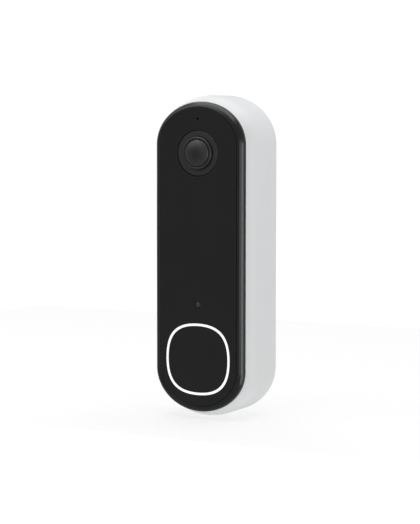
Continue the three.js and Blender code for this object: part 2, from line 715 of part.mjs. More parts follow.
function batteryLead(x, bow) {
  const top = BATTERY.z1;
  const route = new THREE.CatmullRomCurve3([
    [x, -15.5, top + 0.3], [x, -15.6, top + 1.6],
    [x + bow, -17.2, top + 2.7], [x + bow, -19.2, top + 2.9],
  ].map((p) => new THREE.Vector3(...p)));
  const section = new THREE.Shape().absarc(0, 0, LEAD.radius, 0, 2 * Math.PI);
  return new THREE.ExtrudeGeometry(section, { steps: 8, extrudePath: route, curveSegments: 4 });
}

function battery() {
  const { x, front, back, z0, z1, edge, corner } = BATTERY;
  const pack = new THREE.ExtrudeGeometry(
    roundedRect(-x + edge, x - edge, front + edge, back - edge, corner),
    { depth: z1 - z0 - 2 * edge, bevelThickness: edge, bevelSize: edge, bevelSegments: 2, curveSegments: 4 },
  ).translate(0, 0, z0 + edge);
  return [
    named("battery_pack", pack, finish.wrap),
    named("battery_lead_positive", batteryLead(LEAD.positiveX, -0.5), finish.red),
    named("battery_lead_negative", batteryLead(LEAD.negativeX, 0.5), finish.blackMatte),
  ];
}

function innerFrame() {
  const { x, back, z0, z1, wall, endWall, ear, earThick } = FRAME;
  const earFront = back - earThick;
  const ears = POSTS.map(([px, pz]) => rod(ear, earFront, back, px, pz));
  const arms = POSTS.filter(([, pz]) => pz > z1)
    .map(([px, pz]) => block(px - ear, px + ear, earFront, back, z1 - endWall, pz));
  const windows = Object.values(FRAME_WINDOWS)
    .map(([x0, x1, low, high]) => block(x0, x1, BATTERY.front - PAST, back + PAST, low, high));
  const tray = shaped(block(-x, x, BATTERY.front, back, z0, z1), {
    add: [...ears, ...arms],
    cut: [
      block(-x + wall, x - wall, BATTERY.front - PAST, BATTERY.back + BITE, z0 + endWall, z1 - endWall),
      ...windows,
      ...POSTS.map(([px, pz]) => rod(POST_RADIUS + GAP, BATTERY.front - PAST, back + PAST, px, pz)),
    ],
  });
  return named("inner_frame", tray, finish.blackMatte);
}

function powerBoard() {
  const { front, back, x, z0, z1, hole } = POWER_BOARD;
  const board = shaped(slab(roundedRect(-x, x, z0, z1, 1), front, back), {
    cut: [-1, 1].map((side) => rod(hole, front - PAST, back + PAST, TERMINAL.x * side, TERMINAL.z)),
  });
  return named("power_board", board, finish.board);
}

const RECEPTACLE = { mouth: -4.6, sheet: 0.3, floor: 0.6 };
const TONGUE_PLATE = { halfWidth: 3.3, halfHeight: 0.35, short: 2 };
const PLUG_PAD = { halfWidth: 3.8, halfHeight: 0.95, reach: 1.75 };
const COVER_TAB = { x0: 1.6, x1: 0.8, proud: 0.35, half: 1.6 };
const TERMINAL_PLATE = { halfWidth: 4.6, halfHeight: 3.8, thick: 0.75, hole: 1.4 };
const TERMINAL_SCREW = {
  radius: 1.15, head: 2.9, tip: -10.8, crossHalf: 0.35, crossReach: 1.8, crossDepth: 0.8,
};

function usbPort() {
  const { halfWidth: w, halfHeight: h, corner } = PORT;
  const { mouth, sheet, floor } = RECEPTACLE;
  const back = POWER_BOARD.back + SEATED;
  const hollow = roundedRect(-w + sheet, w - sheet, -h + sheet, h - sheet, corner - sheet);
  const shell = shaped(slab(roundedRect(-w, w, -h, h, corner), back, mouth), {
    cut: [slab(hollow, back + floor, mouth + PAST)],
  });
  const { halfWidth, halfHeight, short } = TONGUE_PLATE;
  const tongue = block(-halfWidth, halfWidth, back + floor + 0.1, mouth - short, -halfHeight, halfHeight);
  return [
    named("usb_receptacle", shell, finish.steel, PORT.x, 0, PORT.z),
    named("usb_tongue", tongue, finish.blackMatte, PORT.x, 0, PORT.z),
  ];
}

function portCover() {
  const { halfWidth, halfHeight, thick, hingeX, corner } = COVER;
  const { x, z } = PORT;
  const front = Y.floor - thick;
  const end = x + halfWidth;
  const leaf = roundedRect(hingeX - 0.35, end, z - halfHeight, z + halfHeight, corner - 0.3);
  const pad = roundedRect(x - PLUG_PAD.halfWidth, x + PLUG_PAD.halfWidth,
    z - PLUG_PAD.halfHeight, z + PLUG_PAD.halfHeight, 0.9);
  const tab = block(end - COVER_TAB.x0, end - COVER_TAB.x1, Y.floor - 0.1, Y.floor + COVER_TAB.proud,
    z - COVER_TAB.half, z + COVER_TAB.half);
  const cover = shaped(slab(leaf, front, Y.floor), {
    add: [slab(pad, front - PLUG_PAD.reach, front + 0.1), tab],
  });
  return named("usb_port_cover", cover, finish.rubber);
}

function terminals() {
  const { halfWidth: w, halfHeight: h, thick, hole } = TERMINAL_PLATE;
  const plate = shaped(block(-w, w, WELL.floor + SEATED, WELL.floor + thick, -h, h), {
    cut: [rod(hole, WELL.floor - PAST, WELL.floor + thick + PAST)],
  });
  const { radius, head, tip, crossHalf, crossReach, crossDepth } = TERMINAL_SCREW;
  const headTop = Y.floor - 0.35;
  const cross = [[crossHalf, crossReach], [crossReach, crossHalf]]
    .map(([x, z]) => block(-x, x, headTop - crossDepth, headTop + PAST, -z, z));
  const screw = shaped(rod(radius, tip, WELL.floor + PAST, 0, 0, 12), {
    add: [rod(head, WELL.floor + thick + REST, headTop, 0, 0, 24)],
    cut: cross,
  });
  return mirrored((side, word) => [
    named(`terminal_plate_${word}`, plate, finish.brass, TERMINAL.x * side, 0, TERMINAL.z),
    named(`terminal_screw_${word}`, screw, finish.brass, TERMINAL.x * side, 0, TERMINAL.z),
  ]).flat();
}

const SYNC_CAP = {
  sunk: 0.2, flange: 0.9, flangeFront: 0.9, flangeBack: 0.3, stem: 1.2, stemEnd: -8.4,
};

function syncButton() {
  const { sunk, flange, flangeFront, flangeBack, stem, stemEnd } = SYNC_CAP;
  const cap = shaped(rod(SYNC.radius, Y.inside - 0.4, Y.floor - sunk), {
    add: [
      rod(SYNC.radius + flange, Y.inside - flangeFront, Y.inside - flangeBack),
      rod(stem, stemEnd, Y.inside - 0.5),
    ],
  });
  return [
    named("sync_button", cap, finish.silicone, SYNC.x, 0, SYNC.z),
    ...tactSwitch("sync_switch", SYNC.x, SYNC.z, POWER_BOARD.back, 1),
  ];
}

// ---- Speaker, release latch and case screws --------------------------------------------------

const SPEAKER = { x: 9, y0: -18, y1: -10.5, z0: -58.4, z1: -52, wall: 0.8, roof: 1 };
const CONE = { margin: 1.1, z0: 0.5, z1: 1 };
const MAGNET = { x: 3.1, y: 2.1, z0: 2.4, proud: 0.6, room: 0.3 };
const LATCH_TAB = { half: 5.2, height: 5 };
const SPRING_PEG = { radius: 0.9, height: 1.6 };
const SPRING_TURNS = 4.5;
const CASE_SCREW = { shank: 1, head: 2, reach: 7, socket: 0.95, sunk: 0.25, socketDepth: 0.85 };

function speaker() {
  const { x, y0, y1, z0, z1, wall, roof } = SPEAKER;
  const mid = (y0 + y1) / 2;
  const magnetRoom = [
    -MAGNET.x - MAGNET.room, MAGNET.x + MAGNET.room,
    mid - MAGNET.y - MAGNET.room, mid + MAGNET.y + MAGNET.room,
  ];
  const frame = shaped(block(-x, x, y0, y1, z0, z1), {
    cut: [
      block(-x + wall, x - wall, y0 + wall, y1 - wall, z0 - PAST, z1 - roof),
      block(...magnetRoom, z1 - 2 * roof, z1 + PAST),
    ],
  });
  const { margin } = CONE;
  const cone = block(-x + margin, x - margin, y0 + margin, y1 - margin, z0 + CONE.z0, z0 + CONE.z1);
  const magnet = block(-MAGNET.x, MAGNET.x, mid - MAGNET.y, mid + MAGNET.y,
    z0 + MAGNET.z0, z1 + MAGNET.proud);
  return [
    named("speaker_frame", frame, finish.blackMatte),
    named("speaker_cone", cone, finish.rubber),
    named("speaker_magnet", magnet, finish.steel),
  ];
}

function releaseLatch() {
  const { back, front, top, bottom, halfWidth, tooth } = LATCH;
  const slot = CATCH.halfWidth + CATCH.play;
  const plate = shaped(block(-halfWidth, halfWidth, front, back, bottom + 4, top), {
    add: [
      block(-LATCH_TAB.half, LATCH_TAB.half, front, back, bottom, bottom + LATCH_TAB.height),
      uprightRod(SPRING_PEG.radius, top - BITE, top + SPRING_PEG.height, 0, SPRING.y, 12),
    ],
    cut: [block(-slot, slot, front - PAST, back + PAST, CATCH.z0 - 2.4, tooth)],
  });
  return named("release_latch", plate, finish.blackMatte);
}

function latchSpring() {
  const { y, z0, z1, radius, wire } = SPRING;
  class Coil extends THREE.Curve {
    getPoint(t, target = new THREE.Vector3()) {
      const angle = 2 * Math.PI * SPRING_TURNS * t;
      return target.set(radius * Math.cos(angle), y + radius * Math.sin(angle),
        z0 + wire + (z1 - z0 - 2 * wire) * t);
    }
  }
  const section = new THREE.Shape().absarc(0, 0, wire / 2, 0, 2 * Math.PI);
  const coil = new THREE.ExtrudeGeometry(section, {
    steps: 45, extrudePath: new Coil(), curveSegments: 3,
  });
  return named("latch_spring", coil, finish.steel);
}

function caseScrews() {
  const { shank, head, reach, socket, sunk, socketDepth } = CASE_SCREW;
  const headTop = Y.floor - sunk;
  const key = rod(socket, headTop - socketDepth, headTop + PAST, 0, 0, 6);
  const screw = shaped(rod(shank, Y.inside - reach, Y.inside + 0.5, 0, 0, 12), {
    add: [rod(head, Y.inside + 0.25, headTop)],
    cut: [key],
  });
  return POSTS.map(([x, z], k) => named(`case_screw_${k + 1}`, screw, finish.steel, x, 0, z));
}

// ---- The whole doorbell ----------------------------------------------------------------------

const doorbell = new THREE.Group();
doorbell.add(
  rearHousing(), frontBezel(), perimeterSeal(), frontPanel(),
  lightRing(), buttonCap(), buttonMembrane(),
  ...tactSwitch("call_switch", 0, BUTTON_Z, BOARD.front, -1),
  mainBoard(),
  shieldCan("processor_shield", -14, 6, -8, 14, 2.2),
  shieldCan("radio_shield", 7.5, 15.5, 2, 20, 1.8),
  chip("battery_socket", 3.2, 1.8, 2.4, finish.whiteShell, -7, 20.5),
  ...ringLeds(), ...statusLight(),
  camera(), ...sensorBoard(), cameraFlex(), antenna(),
  ...battery(), innerFrame(), powerBoard(), ...usbPort(), portCover(),
  ...terminals(), ...syncButton(),
  ...speaker(), releaseLatch(), latchSpring(), ...caseScrews(),
);

const assembly = new THREE.Group();
assembly.add(wallPlate(), doorbell);

export default assembly;
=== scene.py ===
import json
from math import cos, pi, radians, sin

import bmesh
import bpy
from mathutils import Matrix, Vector


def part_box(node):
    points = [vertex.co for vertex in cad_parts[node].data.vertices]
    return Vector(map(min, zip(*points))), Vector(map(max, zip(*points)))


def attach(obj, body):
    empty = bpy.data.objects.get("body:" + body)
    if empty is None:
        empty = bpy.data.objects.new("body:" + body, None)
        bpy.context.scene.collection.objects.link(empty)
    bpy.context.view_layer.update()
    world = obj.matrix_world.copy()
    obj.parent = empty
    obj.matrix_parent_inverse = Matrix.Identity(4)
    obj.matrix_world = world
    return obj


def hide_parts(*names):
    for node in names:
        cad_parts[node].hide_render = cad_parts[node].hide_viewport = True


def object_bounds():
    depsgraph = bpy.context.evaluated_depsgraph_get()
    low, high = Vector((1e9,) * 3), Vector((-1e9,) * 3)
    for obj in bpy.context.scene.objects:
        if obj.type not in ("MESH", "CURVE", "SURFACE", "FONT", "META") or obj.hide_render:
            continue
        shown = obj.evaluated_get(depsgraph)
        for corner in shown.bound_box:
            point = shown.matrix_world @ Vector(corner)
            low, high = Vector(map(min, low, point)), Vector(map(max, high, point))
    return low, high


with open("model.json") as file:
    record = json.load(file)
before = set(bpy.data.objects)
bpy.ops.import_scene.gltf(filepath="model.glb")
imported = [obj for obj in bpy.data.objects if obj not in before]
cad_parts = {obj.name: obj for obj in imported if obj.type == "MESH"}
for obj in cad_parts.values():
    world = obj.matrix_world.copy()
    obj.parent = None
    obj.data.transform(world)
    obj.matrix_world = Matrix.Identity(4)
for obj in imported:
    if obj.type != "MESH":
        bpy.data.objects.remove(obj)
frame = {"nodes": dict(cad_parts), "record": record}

MM = 0.001
cad_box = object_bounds()

# ---- Camera ------------------------------------------------------------------------------------
# A long lens, a little to the doorbell's right and just above its middle. It looks at the seam
# between the black front and the white body.

SEAM_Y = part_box("rear_housing")[0].y  # depth of the seam between the black front and the white body
CAMERA_TURN = radians(28.8)
CAMERA_RISE = radians(4.64)
CAMERA_REACH = 0.7014
FOCAL_LENGTH = 118.17  # on a 36 mm sensor along the picture's long side
PICTURE_SHIFT = (0.0156, -0.0088)

camera_data = bpy.data.cameras.new("camera")
camera_data.lens = FOCAL_LENGTH
camera_data.sensor_width = 36
camera_data.shift_x, camera_data.shift_y = PICTURE_SHIFT
camera = bpy.data.objects.new("camera", camera_data)
bpy.context.scene.collection.objects.link(camera)
toward_camera = Vector((
    sin(CAMERA_TURN) * cos(CAMERA_RISE),
    -cos(CAMERA_TURN) * cos(CAMERA_RISE),
    sin(CAMERA_RISE),
))
camera.location = Vector((0, SEAM_Y, 0)) + toward_camera * CAMERA_REACH
camera.rotation_euler = toward_camera.to_track_quat("Z", "Y").to_euler()
bpy.context.scene.camera = camera

# ---- Floor and light ---------------------------------------------------------------------------
# A plain white floor just under the doorbell's round end, in a white studio. A broad soft light
# hangs overhead and a fill stands at the right. Three panels light nothing and are only mirrored,
# along the black rim's rounding. The floor leaves no reflection on the glossy front.

FLOOR_Z = cad_box[0].z - 0.05 * MM
FLOOR_X = (-0.3, 0.35)
FLOOR_Y = (-0.07, 0.3)
FLOOR_GLOW = 0.7
STUDIO_WHITE = 1.05
ROOM_LIGHT = 0.36
LIGHTS = {  # place, size, power, and whether it is only mirrored
    "overhead": ((0.0, -0.02, 0.8), (1.0, 1.0), 6.3, False),
    "right_fill": ((0.96, 0.05, -0.25), (0.8, 0.8), 5.0, False),
    "right_panel": ((0.82, -0.57, -0.05), (1.1, 0.4), 1.6, True),
    "upper_left_panel": ((-0.42, -0.58, 0.56), (0.7, 0.7), 2.2, True),
    "left_panel": ((-0.8, 0.45, 0.35), (0.8, 0.8), 3.0, True),
}

bpy.ops.object.select_all(action="DESELECT")
bpy.ops.mesh.primitive_plane_add(size=1, location=(sum(FLOOR_X) / 2, sum(FLOOR_Y) / 2, FLOOR_Z))
floor = bpy.context.object
floor.scale = (FLOOR_X[1] - FLOOR_X[0], FLOOR_Y[1] - FLOOR_Y[0], 1)
floor.name = "floor"
floor.visible_glossy = False
floor_material = bpy.data.materials.new("floor")
floor_material.use_nodes = True
floor_shader = floor_material.node_tree.nodes["Principled BSDF"]
floor_shader.inputs["Base Color"].default_value = (0.3, 0.3, 0.3, 1)
floor_shader.inputs["Emission Color"].default_value = (1, 1, 1, 1)
floor_shader.inputs["Emission Strength"].default_value = FLOOR_GLOW
floor_shader.inputs["Roughness"].default_value = 0.9
floor_shader.inputs["Specular IOR Level"].default_value = 0.1
floor.data.materials.append(floor_material)

for name, (place, size, power, mirrored_only) in LIGHTS.items():
    light_data = bpy.data.lights.new(name, "AREA")
    light_data.shape = "RECTANGLE"
    light_data.size, light_data.size_y = size
    light_data.energy = power
    light = bpy.data.objects.new(name, light_data)
    light.location = place
    light.rotation_euler = Vector(place).to_track_quat("Z", "Y").to_euler()
    light.visible_camera = False
    light.visible_diffuse = not mirrored_only
    bpy.context.scene.collection.objects.link(light)

world = bpy.data.worlds.new("studio")
world.use_nodes = True
world_nodes = world.node_tree.nodes
world_links = world.node_tree.links
room = world_nodes["Background"]
room.inputs["Color"].default_value = (1, 1, 1, 1)
room.inputs["Strength"].default_value = ROOM_LIGHT
backdrop = world_nodes.new("ShaderNodeBackground")
backdrop.inputs["Color"].default_value = (1, 1, 1, 1)
backdrop.inputs["Strength"].default_value = STUDIO_WHITE
seen = world_nodes.new("ShaderNodeLightPath")
either = world_nodes.new("ShaderNodeMixShader")
world_links.new(seen.outputs["Is Camera Ray"], either.inputs[0])
world_links.new(room.outputs[0], either.inputs[1])
world_links.new(backdrop.outputs[0], either.inputs[2])
world_links.new(either.outputs[0], world_nodes["World Output"].inputs["Surface"])
bpy.context.scene.world = world
bpy.context.scene.view_settings.view_transform = "Standard"

# ---- Wall plate --------------------------------------------------------------------------------
# A flat injection-moulded plate that is screwed to the wall. Two hooks at its top carry the
# doorbell, a tab at its foot is what the latch holds, and its windows pass the wires and the plug.

HALF_WIDTH = 20.2 * MM  # of the seam outline, as are the next two
CAP_HEIGHT = 17.45 * MM
CAP_Z = 45.85 * MM
FLARE = 2.67 * MM  # of the white body past the seam outline
AROUND = 160  # corners round an outline
CREASE = radians(30)  # edges sharper than this stay sharp
BITE = 0.2 * MM  # how far joined blocks reach into each other
MERGE = 0.0005 * MM  # corners closer than this are one

PLATE_INSET = 3.5 * MM - FLARE
PLATE_THICK = 2.6 * MM
PLATE_EDGE = 0.45 * MM
PLATE_CUT = (-5 * MM, 1 * MM)  # depths that a cut right through the plate spans
WINDOWS = {"half": 15.2 * MM, "wires": (3 * MM, 18 * MM), "port": (-16 * MM, -1.6 * MM), "corner": 2.5 * MM}
SCREW_SLOT = {"half_width": 1.9 * MM, "half_length": 4.6 * MM, "z": 34 * MM}
COUNTERSINK = {"grow": 1.6 * MM, "floor": -1.5 * MM}
SLOT_ROUND = 0.99  # of its half width, the corner radius that makes a slot's end round
HOOK = {"x": (5 * MM, 10 * MM), "z": 57.8 * MM, "thick": 1.6 * MM, "back": -5.6 * MM, "lip": 1.4 * MM}
HOOK_TOP = 60 * MM
CATCH = {"half": 3.2 * MM, "z": (-58.6 * MM, -57 * MM), "lip": (-9.5 * MM, -8.1 * MM)}
CATCH_TOP = -55.5 * MM


def only(piece):
    """Leave this piece as the one selected and active object."""
    bpy.ops.object.select_all(action="DESELECT")
    piece.select_set(True)
    bpy.context.view_layer.objects.active = piece


def pick(piece, wanted, kind="verts"):
    """In edit mode, select just the corners or edges that pass the test."""
    bpy.ops.mesh.select_mode(type={"verts": "VERT", "edges": "EDGE"}[kind])
    bpy.ops.mesh.select_all(action="DESELECT")
    mesh = bmesh.from_edit_mesh(piece.data)
    for item in getattr(mesh, kind):
        if wanted(item):
            item.select_set(True)
    mesh.select_flush_mode()
    bmesh.update_edit_mesh(piece.data)


def finish_piece(piece):
    """Close seams, turn every face outwards and shade the piece smooth between its sharp edges.

    The broad faces keep their own direction, so that flat ones look flat up to their edge.
    """
    only(piece)
    bpy.ops.mesh.customdata_custom_splitnormals_clear()
    bpy.ops.object.mode_set(mode="EDIT")
    bpy.ops.mesh.select_all(action="SELECT")
    bpy.ops.mesh.remove_doubles(threshold=MERGE)
    bpy.ops.mesh.normals_make_consistent(inside=False)
    bpy.ops.object.mode_set(mode="OBJECT")
    bpy.ops.object.shade_smooth_by_angle(angle=CREASE)
    bpy.ops.object.modifier_add(type="WEIGHTED_NORMAL")
    weighting = piece.modifiers[-1]
    weighting.weight = 100
    weighting.keep_sharp = True
    bpy.ops.object.modifier_apply(modifier=weighting.name)
    return piece


def drawn(name, sections, caps_z=CAP_Z, at=(0, 0), around=AROUND, hollow=False):
    """Draw a piece through sections along Y, each (half width, height of a cap, depth).

    A circle is added and its halves are moved apart to the two caps' centres. It is then
    extruded and resized about those centres from section to section. A solid piece is closed
    by a face at each end, and a hollow one by meeting its first section again.
    """
    x, z = at
    half, tall, y = sections[0]
    bpy.ops.object.select_all(action="DESELECT")
    bpy.ops.mesh.primitive_circle_add(
        vertices=around, radius=1, fill_type="NOTHING" if hollow else "NGON",
        rotation=(pi / 2, pi / around, 0),
    )
    piece = bpy.context.object
    piece.name = name
    bpy.ops.object.transform_apply(location=True, rotation=True, scale=True)
    bpy.ops.object.mode_set(mode="EDIT")
    bpy.ops.mesh.select_mode(type="VERT")
    bpy.ops.transform.resize(value=(half, 1, tall), center_override=(0, 0, 0))
    bpy.ops.transform.translate(value=(x, y, z))
    for end in (1, -1):
        pick(piece, lambda v: (v.co.z - z) * end > 0)
        bpy.ops.transform.translate(value=(0, 0, end * caps_z))
    bpy.ops.mesh.select_all(action="SELECT")
    for wide, high, depth in sections[1:]:
        bpy.ops.mesh.extrude_region_move(TRANSFORM_OT_translate={"value": (0, depth - y, 0)})
        ring = {v.index for v in bmesh.from_edit_mesh(piece.data).verts if v.select}
        for end in (1, -1):
            pick(piece, lambda v: v.index in ring and (v.co.z - z) * end > 0)
            bpy.ops.transform.resize(
                value=(wide / half, 1, high / tall), center_override=(x, depth, z + end * caps_z),
            )
        pick(piece, lambda v: v.index in ring)
        half, tall, y = wide, high, depth
    bpy.ops.object.mode_set(mode="OBJECT")
    return finish_piece(piece)


def inset_by(inset, depth):
    """A section of the doorbell's own outline, set in from the seam's."""
    return (HALF_WIDTH - inset, CAP_HEIGHT - inset, depth)


def block(name, low, high, radius=0.0, along="y", steps=8):
    """A cube stretched between two corners, its edges along one axis rounded."""
    low, high = Vector(low), Vector(high)
    bpy.ops.object.select_all(action="DESELECT")
    bpy.ops.mesh.primitive_cube_add(size=1, location=(low + high) / 2, scale=high - low)
    piece = bpy.context.object
    piece.name = name
    bpy.ops.object.transform_apply(location=True, rotation=True, scale=True)
    if radius:
        axis = "xyz".index(along)
        bpy.ops.object.mode_set(mode="EDIT")
        pick(piece, lambda e: abs(e.verts[0].co[axis] - e.verts[1].co[axis]) > MERGE, "edges")
        bpy.ops.mesh.bevel(offset=radius, segments=steps, affect="EDGES", clamp_overlap=True)
        bpy.ops.object.mode_set(mode="OBJECT")
    return piece


def combine(piece, tools, how="DIFFERENCE"):
    """Cut the tools from the piece, or join them to it, and take them away."""
    for tool in tools:
        only(piece)
        bpy.ops.object.modifier_add(type="BOOLEAN")
        boolean = piece.modifiers[-1]
        boolean.operation = how
        boolean.solver = "EXACT"
        boolean.object = tool
        bpy.ops.object.modifier_apply(modifier=boolean.name)
        bpy.data.meshes.remove(tool.data)
    return piece


def soften(piece, width, segments=3):
    """Round every edge that turns by more than 40 degrees."""
    only(piece)
    bpy.ops.object.modifier_add(type="BEVEL")
    bevel = piece.modifiers[-1]
    bevel.width = width
    bevel.segments = segments
    bevel.limit_method = "ANGLE"
    bevel.angle_limit = radians(40)
    bevel.use_clamp_overlap = True
    bpy.ops.object.modifier_apply(modifier=bevel.name)
    return finish_piece(piece)


class Value:
    """One output of a shader node. Sums, differences and products of values add Math nodes."""

    def __init__(self, finish, socket):
        self.finish = finish
        self.socket = socket

    def maths(self, operation, left, right):
        return self.finish.node("ShaderNodeMath", {"operation": operation}, {0: left, 1: right})

    def __add__(self, other):
        return self.maths("ADD", self, other)

    def __sub__(self, other):
        return self.maths("SUBTRACT", self, other)

    def __rsub__(self, other):
        return self.maths("SUBTRACT", other, self)

    def __mul__(self, other):
        return self.maths("MULTIPLY", self, other)

    __radd__ = __add__
    __rmul__ = __mul__


class Finish:
    """A surface finish made of shader nodes, patterned on the piece's own coordinates."""

    def __init__(self, name, **constants):
        self.material = bpy.data.materials.new(name)
        self.material.use_nodes = True
        self.tree = self.material.node_tree
        self.shader = self.tree.nodes["Principled BSDF"]
        for socket, value in constants.items():
            self.shader.inputs[socket.replace("_", " ")].default_value = value
        self.place = self.node("ShaderNodeTexCoord", output="Object")

    def node(self, kind, settings=None, inputs=None, output=0):
        """Add a node: its own settings first, then a number or a value for each socket."""
        made = self.tree.nodes.new(kind)
        for key, value in (settings or {}).items():
            setattr(made, key, value)
        for key, value in (inputs or {}).items():
            self.give(made.inputs[key], value)
        return Value(self, made.outputs[output])

    def give(self, socket, value):
        """Link a value to a socket, or set a number or a colour on it."""
        if isinstance(value, Value):
            self.tree.links.new(value.socket, socket)
        else:
            socket.default_value = value

    def feed(self, **values):
        """Give the surface shader's sockets their values."""
        for socket, value in values.items():
            self.give(self.shader.inputs[socket.replace("_", " ")], value)

    def noise(self, per_metre, detail=3.0, roughness=0.5, stretch=(1, 1, 1)):
        """Cloudy noise from 0 to 1, so many blotches to the metre."""
        place = self.node("ShaderNodeMapping", None, {"Vector": self.place, "Scale": stretch})
        settings = {"noise_dimensions": "3D"}
        inputs = {"Vector": place, "Scale": per_metre, "Detail": detail, "Roughness": roughness}
        return self.node("ShaderNodeTexNoise", settings, inputs)

    def limited(self, value, low, high):
        """A value spread from 0 to 1 between two of its own levels."""
        inputs = {"Value": value, "From Min": low, "From Max": high}
        return self.node("ShaderNodeMapRange", {"clamp": True}, inputs)

    def blended(self, factor, first, second):
        """One colour turning into another."""
        first, second = ((*c, 1) if isinstance(c, tuple) else c for c in (first, second))
        inputs = {0: factor, 6: first, 7: second}  # 6 and 7 are the node's colour sockets
        return self.node("ShaderNodeMix", {"data_type": "RGBA"}, inputs, output=2)

    def raised(self, height, distance):
        """A bump, its height 1 standing so far out."""
        inputs = {"Height": height, "Distance": distance, "Strength": 1.0}
        return self.node("ShaderNodeBump", None, inputs)

    def on(self, *pieces):
        """Give the pieces this finish as their only one."""
        for piece in pieces:
            piece.data.materials.clear()
            piece.data.materials.append(self.material)


def moulded(name, dark, light, roughness, grain, specular=0.5):
    """Moulded plastic: a spark-eroded grain, faint mottling and a slightly uneven sheen."""
    finish = Finish(name, Specular_IOR_Level=specular)
    mottle = finish.noise(90, detail=4)
    fine = finish.noise(5200, detail=2, roughness=0.6)
    finish.feed(
        Base_Color=finish.blended(finish.limited(mottle, 0.3, 0.7), dark, light),
        Roughness=roughness + 0.08 * (fine - 0.5) + 0.06 * (mottle - 0.5),
        Normal=finish.raised(fine, grain),
    )
    return finish


plate_white = moulded("plate_white", (0.66, 0.68, 0.69), (0.71, 0.72, 0.73), 0.5, 0.006 * MM)

wall_plate = drawn("wall_plate_moulding", [
    inset_by(PLATE_INSET, 0),
    inset_by(PLATE_INSET, -PLATE_THICK),
])
plate_front = -PLATE_THICK
additions = []
for side in (-1, 1):
    inner, outer = sorted((side * HOOK["x"][0], side * HOOK["x"][1]))
    reach = HOOK["back"] - HOOK["lip"]
    foot = HOOK["z"] - HOOK["thick"]
    additions += [
        block("arm", (inner, reach, foot), (outer, plate_front + BITE, HOOK["z"])),
        block("lip", (inner, reach, foot), (outer, HOOK["back"], HOOK_TOP)),
    ]
additions += [
    block("tab", (-CATCH["half"], CATCH["lip"][0], CATCH["z"][0]),
          (CATCH["half"], plate_front + BITE, CATCH["z"][1])),
    block("tab_lip", (-CATCH["half"], CATCH["lip"][0], CATCH["z"][0]),
          (CATCH["half"], CATCH["lip"][1], CATCH_TOP)),
]
combine(wall_plate, additions, "UNION")
cuts = []
for low, high in (WINDOWS["wires"], WINDOWS["port"]):
    cuts.append(block(
        "window", (-WINDOWS["half"], PLATE_CUT[0], low), (WINDOWS["half"], PLATE_CUT[1], high),
        WINDOWS["corner"],
    ))
wide, long = SCREW_SLOT["half_width"], SCREW_SLOT["half_length"]
for upright in (True, False):
    centre = SCREW_SLOT["z"] if upright else -SCREW_SLOT["z"]
    for grow, back in ((0, PLATE_CUT[1]), (COUNTERSINK["grow"], COUNTERSINK["floor"])):
        half_x = (wide if upright else long) + grow
        half_z = (long if upright else wide) + grow
        cuts.append(block(
            "screw_slot", (-half_x, PLATE_CUT[0], centre - half_z), (half_x, back, centre + half_z),
            (wide + grow) * SLOT_ROUND, steps=12,
        ))
combine(wall_plate, cuts)
soften(wall_plate, PLATE_EDGE)
plate_white.on(wall_plate)
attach(wall_plate, "plate")
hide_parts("wall_plate")

# ---- Rear housing ------------------------------------------------------------------------------
# The white body, one deep polycarbonate moulding. Its side swells out from the black front and
# runs straight back to a rounded rim, and a pocket in its back hides the wall plate.

RIM_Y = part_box("rear_housing")[1].y
RECESS_FLOOR = RIM_Y - 2.6 * MM
INSIDE_FLOOR = RECESS_FLOOR - 1.8 * MM
SHOULDER = 9.5 * MM
SWELL = 2.6  # how soon the side swells: 2 would make its section a parabola
SWELL_STEPS = 16
RIM_ROUND = 0.5 * MM
SIDE_WALL = 2.0 * MM
RECESS_INSET = PLATE_INSET - 0.9 * MM
RECESS_CHAMFER = 0.3 * MM
POSTS = [(x * MM, z * MM) for z in (29.5, -22.5) for x in (-14.6, 14.6)]
SCREW_HOLE = {"radius": 1.25 * MM, "counterbore": 2.3 * MM, "ledge": 0.2 * MM}
WELL = {"half": 13.5 * MM, "z": (5 * MM, 15 * MM), "floor": -6.4 * MM, "wall": 1.2 * MM, "corner": 2 * MM}
TERMINALS = {"x": 7 * MM, "z": 10 * MM, "hole": 1.45 * MM}
PORT = {"x": -5.5 * MM, "z": -8 * MM, "half": (4.47 * MM, 1.63 * MM), "corner": 1.6 * MM}
COVER = {"half": (6.8 * MM, 3.3 * MM), "thick": 0.8 * MM, "hinge": -12.7 * MM, "corner": 1.2 * MM}
COVER_POCKET = {"hinge_room": 1.2 * MM, "below": 0.2 * MM, "corner": 1 * MM}
SETUP = {"x": 7.5 * MM, "z": -8 * MM, "radius": 2.6 * MM, "gap": 0.2 * MM, "sunk": 0.2 * MM}
HOOK_SLOT = {"side": 0.4 * MM, "z": (53.5 * MM, 58.1 * MM)}
CATCH_SLOT = {"side": 0.5 * MM, "below": 1.6 * MM, "above": 0.9 * MM}
SOUND_SLOT = {"half": (0.6 * MM, 3.4 * MM), "corner": 0.588 * MM, "pitch": 3.2 * MM, "y": -15 * MM,
              "z": (-68 * MM, -62 * MM), "count": 5}
RELEASE_HOLE = {"radius": 1.2 * MM, "y": -7 * MM, "z": (-70 * MM, -60 * MM)}
GAP = 0.3 * MM
PAST = 0.5 * MM  # how far a cut runs past the floor's two faces


def rounded(start, end, steps):
    """Sections along a quarter ellipse that leaves its start sideways and meets its end along Y."""
    bends = [k / steps * pi / 2 for k in range(steps + 1)]
    return [
        inset_by(start[0] + (end[0] - start[0]) * sin(bend), end[1] + (start[1] - end[1]) * cos(bend))
        for bend in bends
    ]


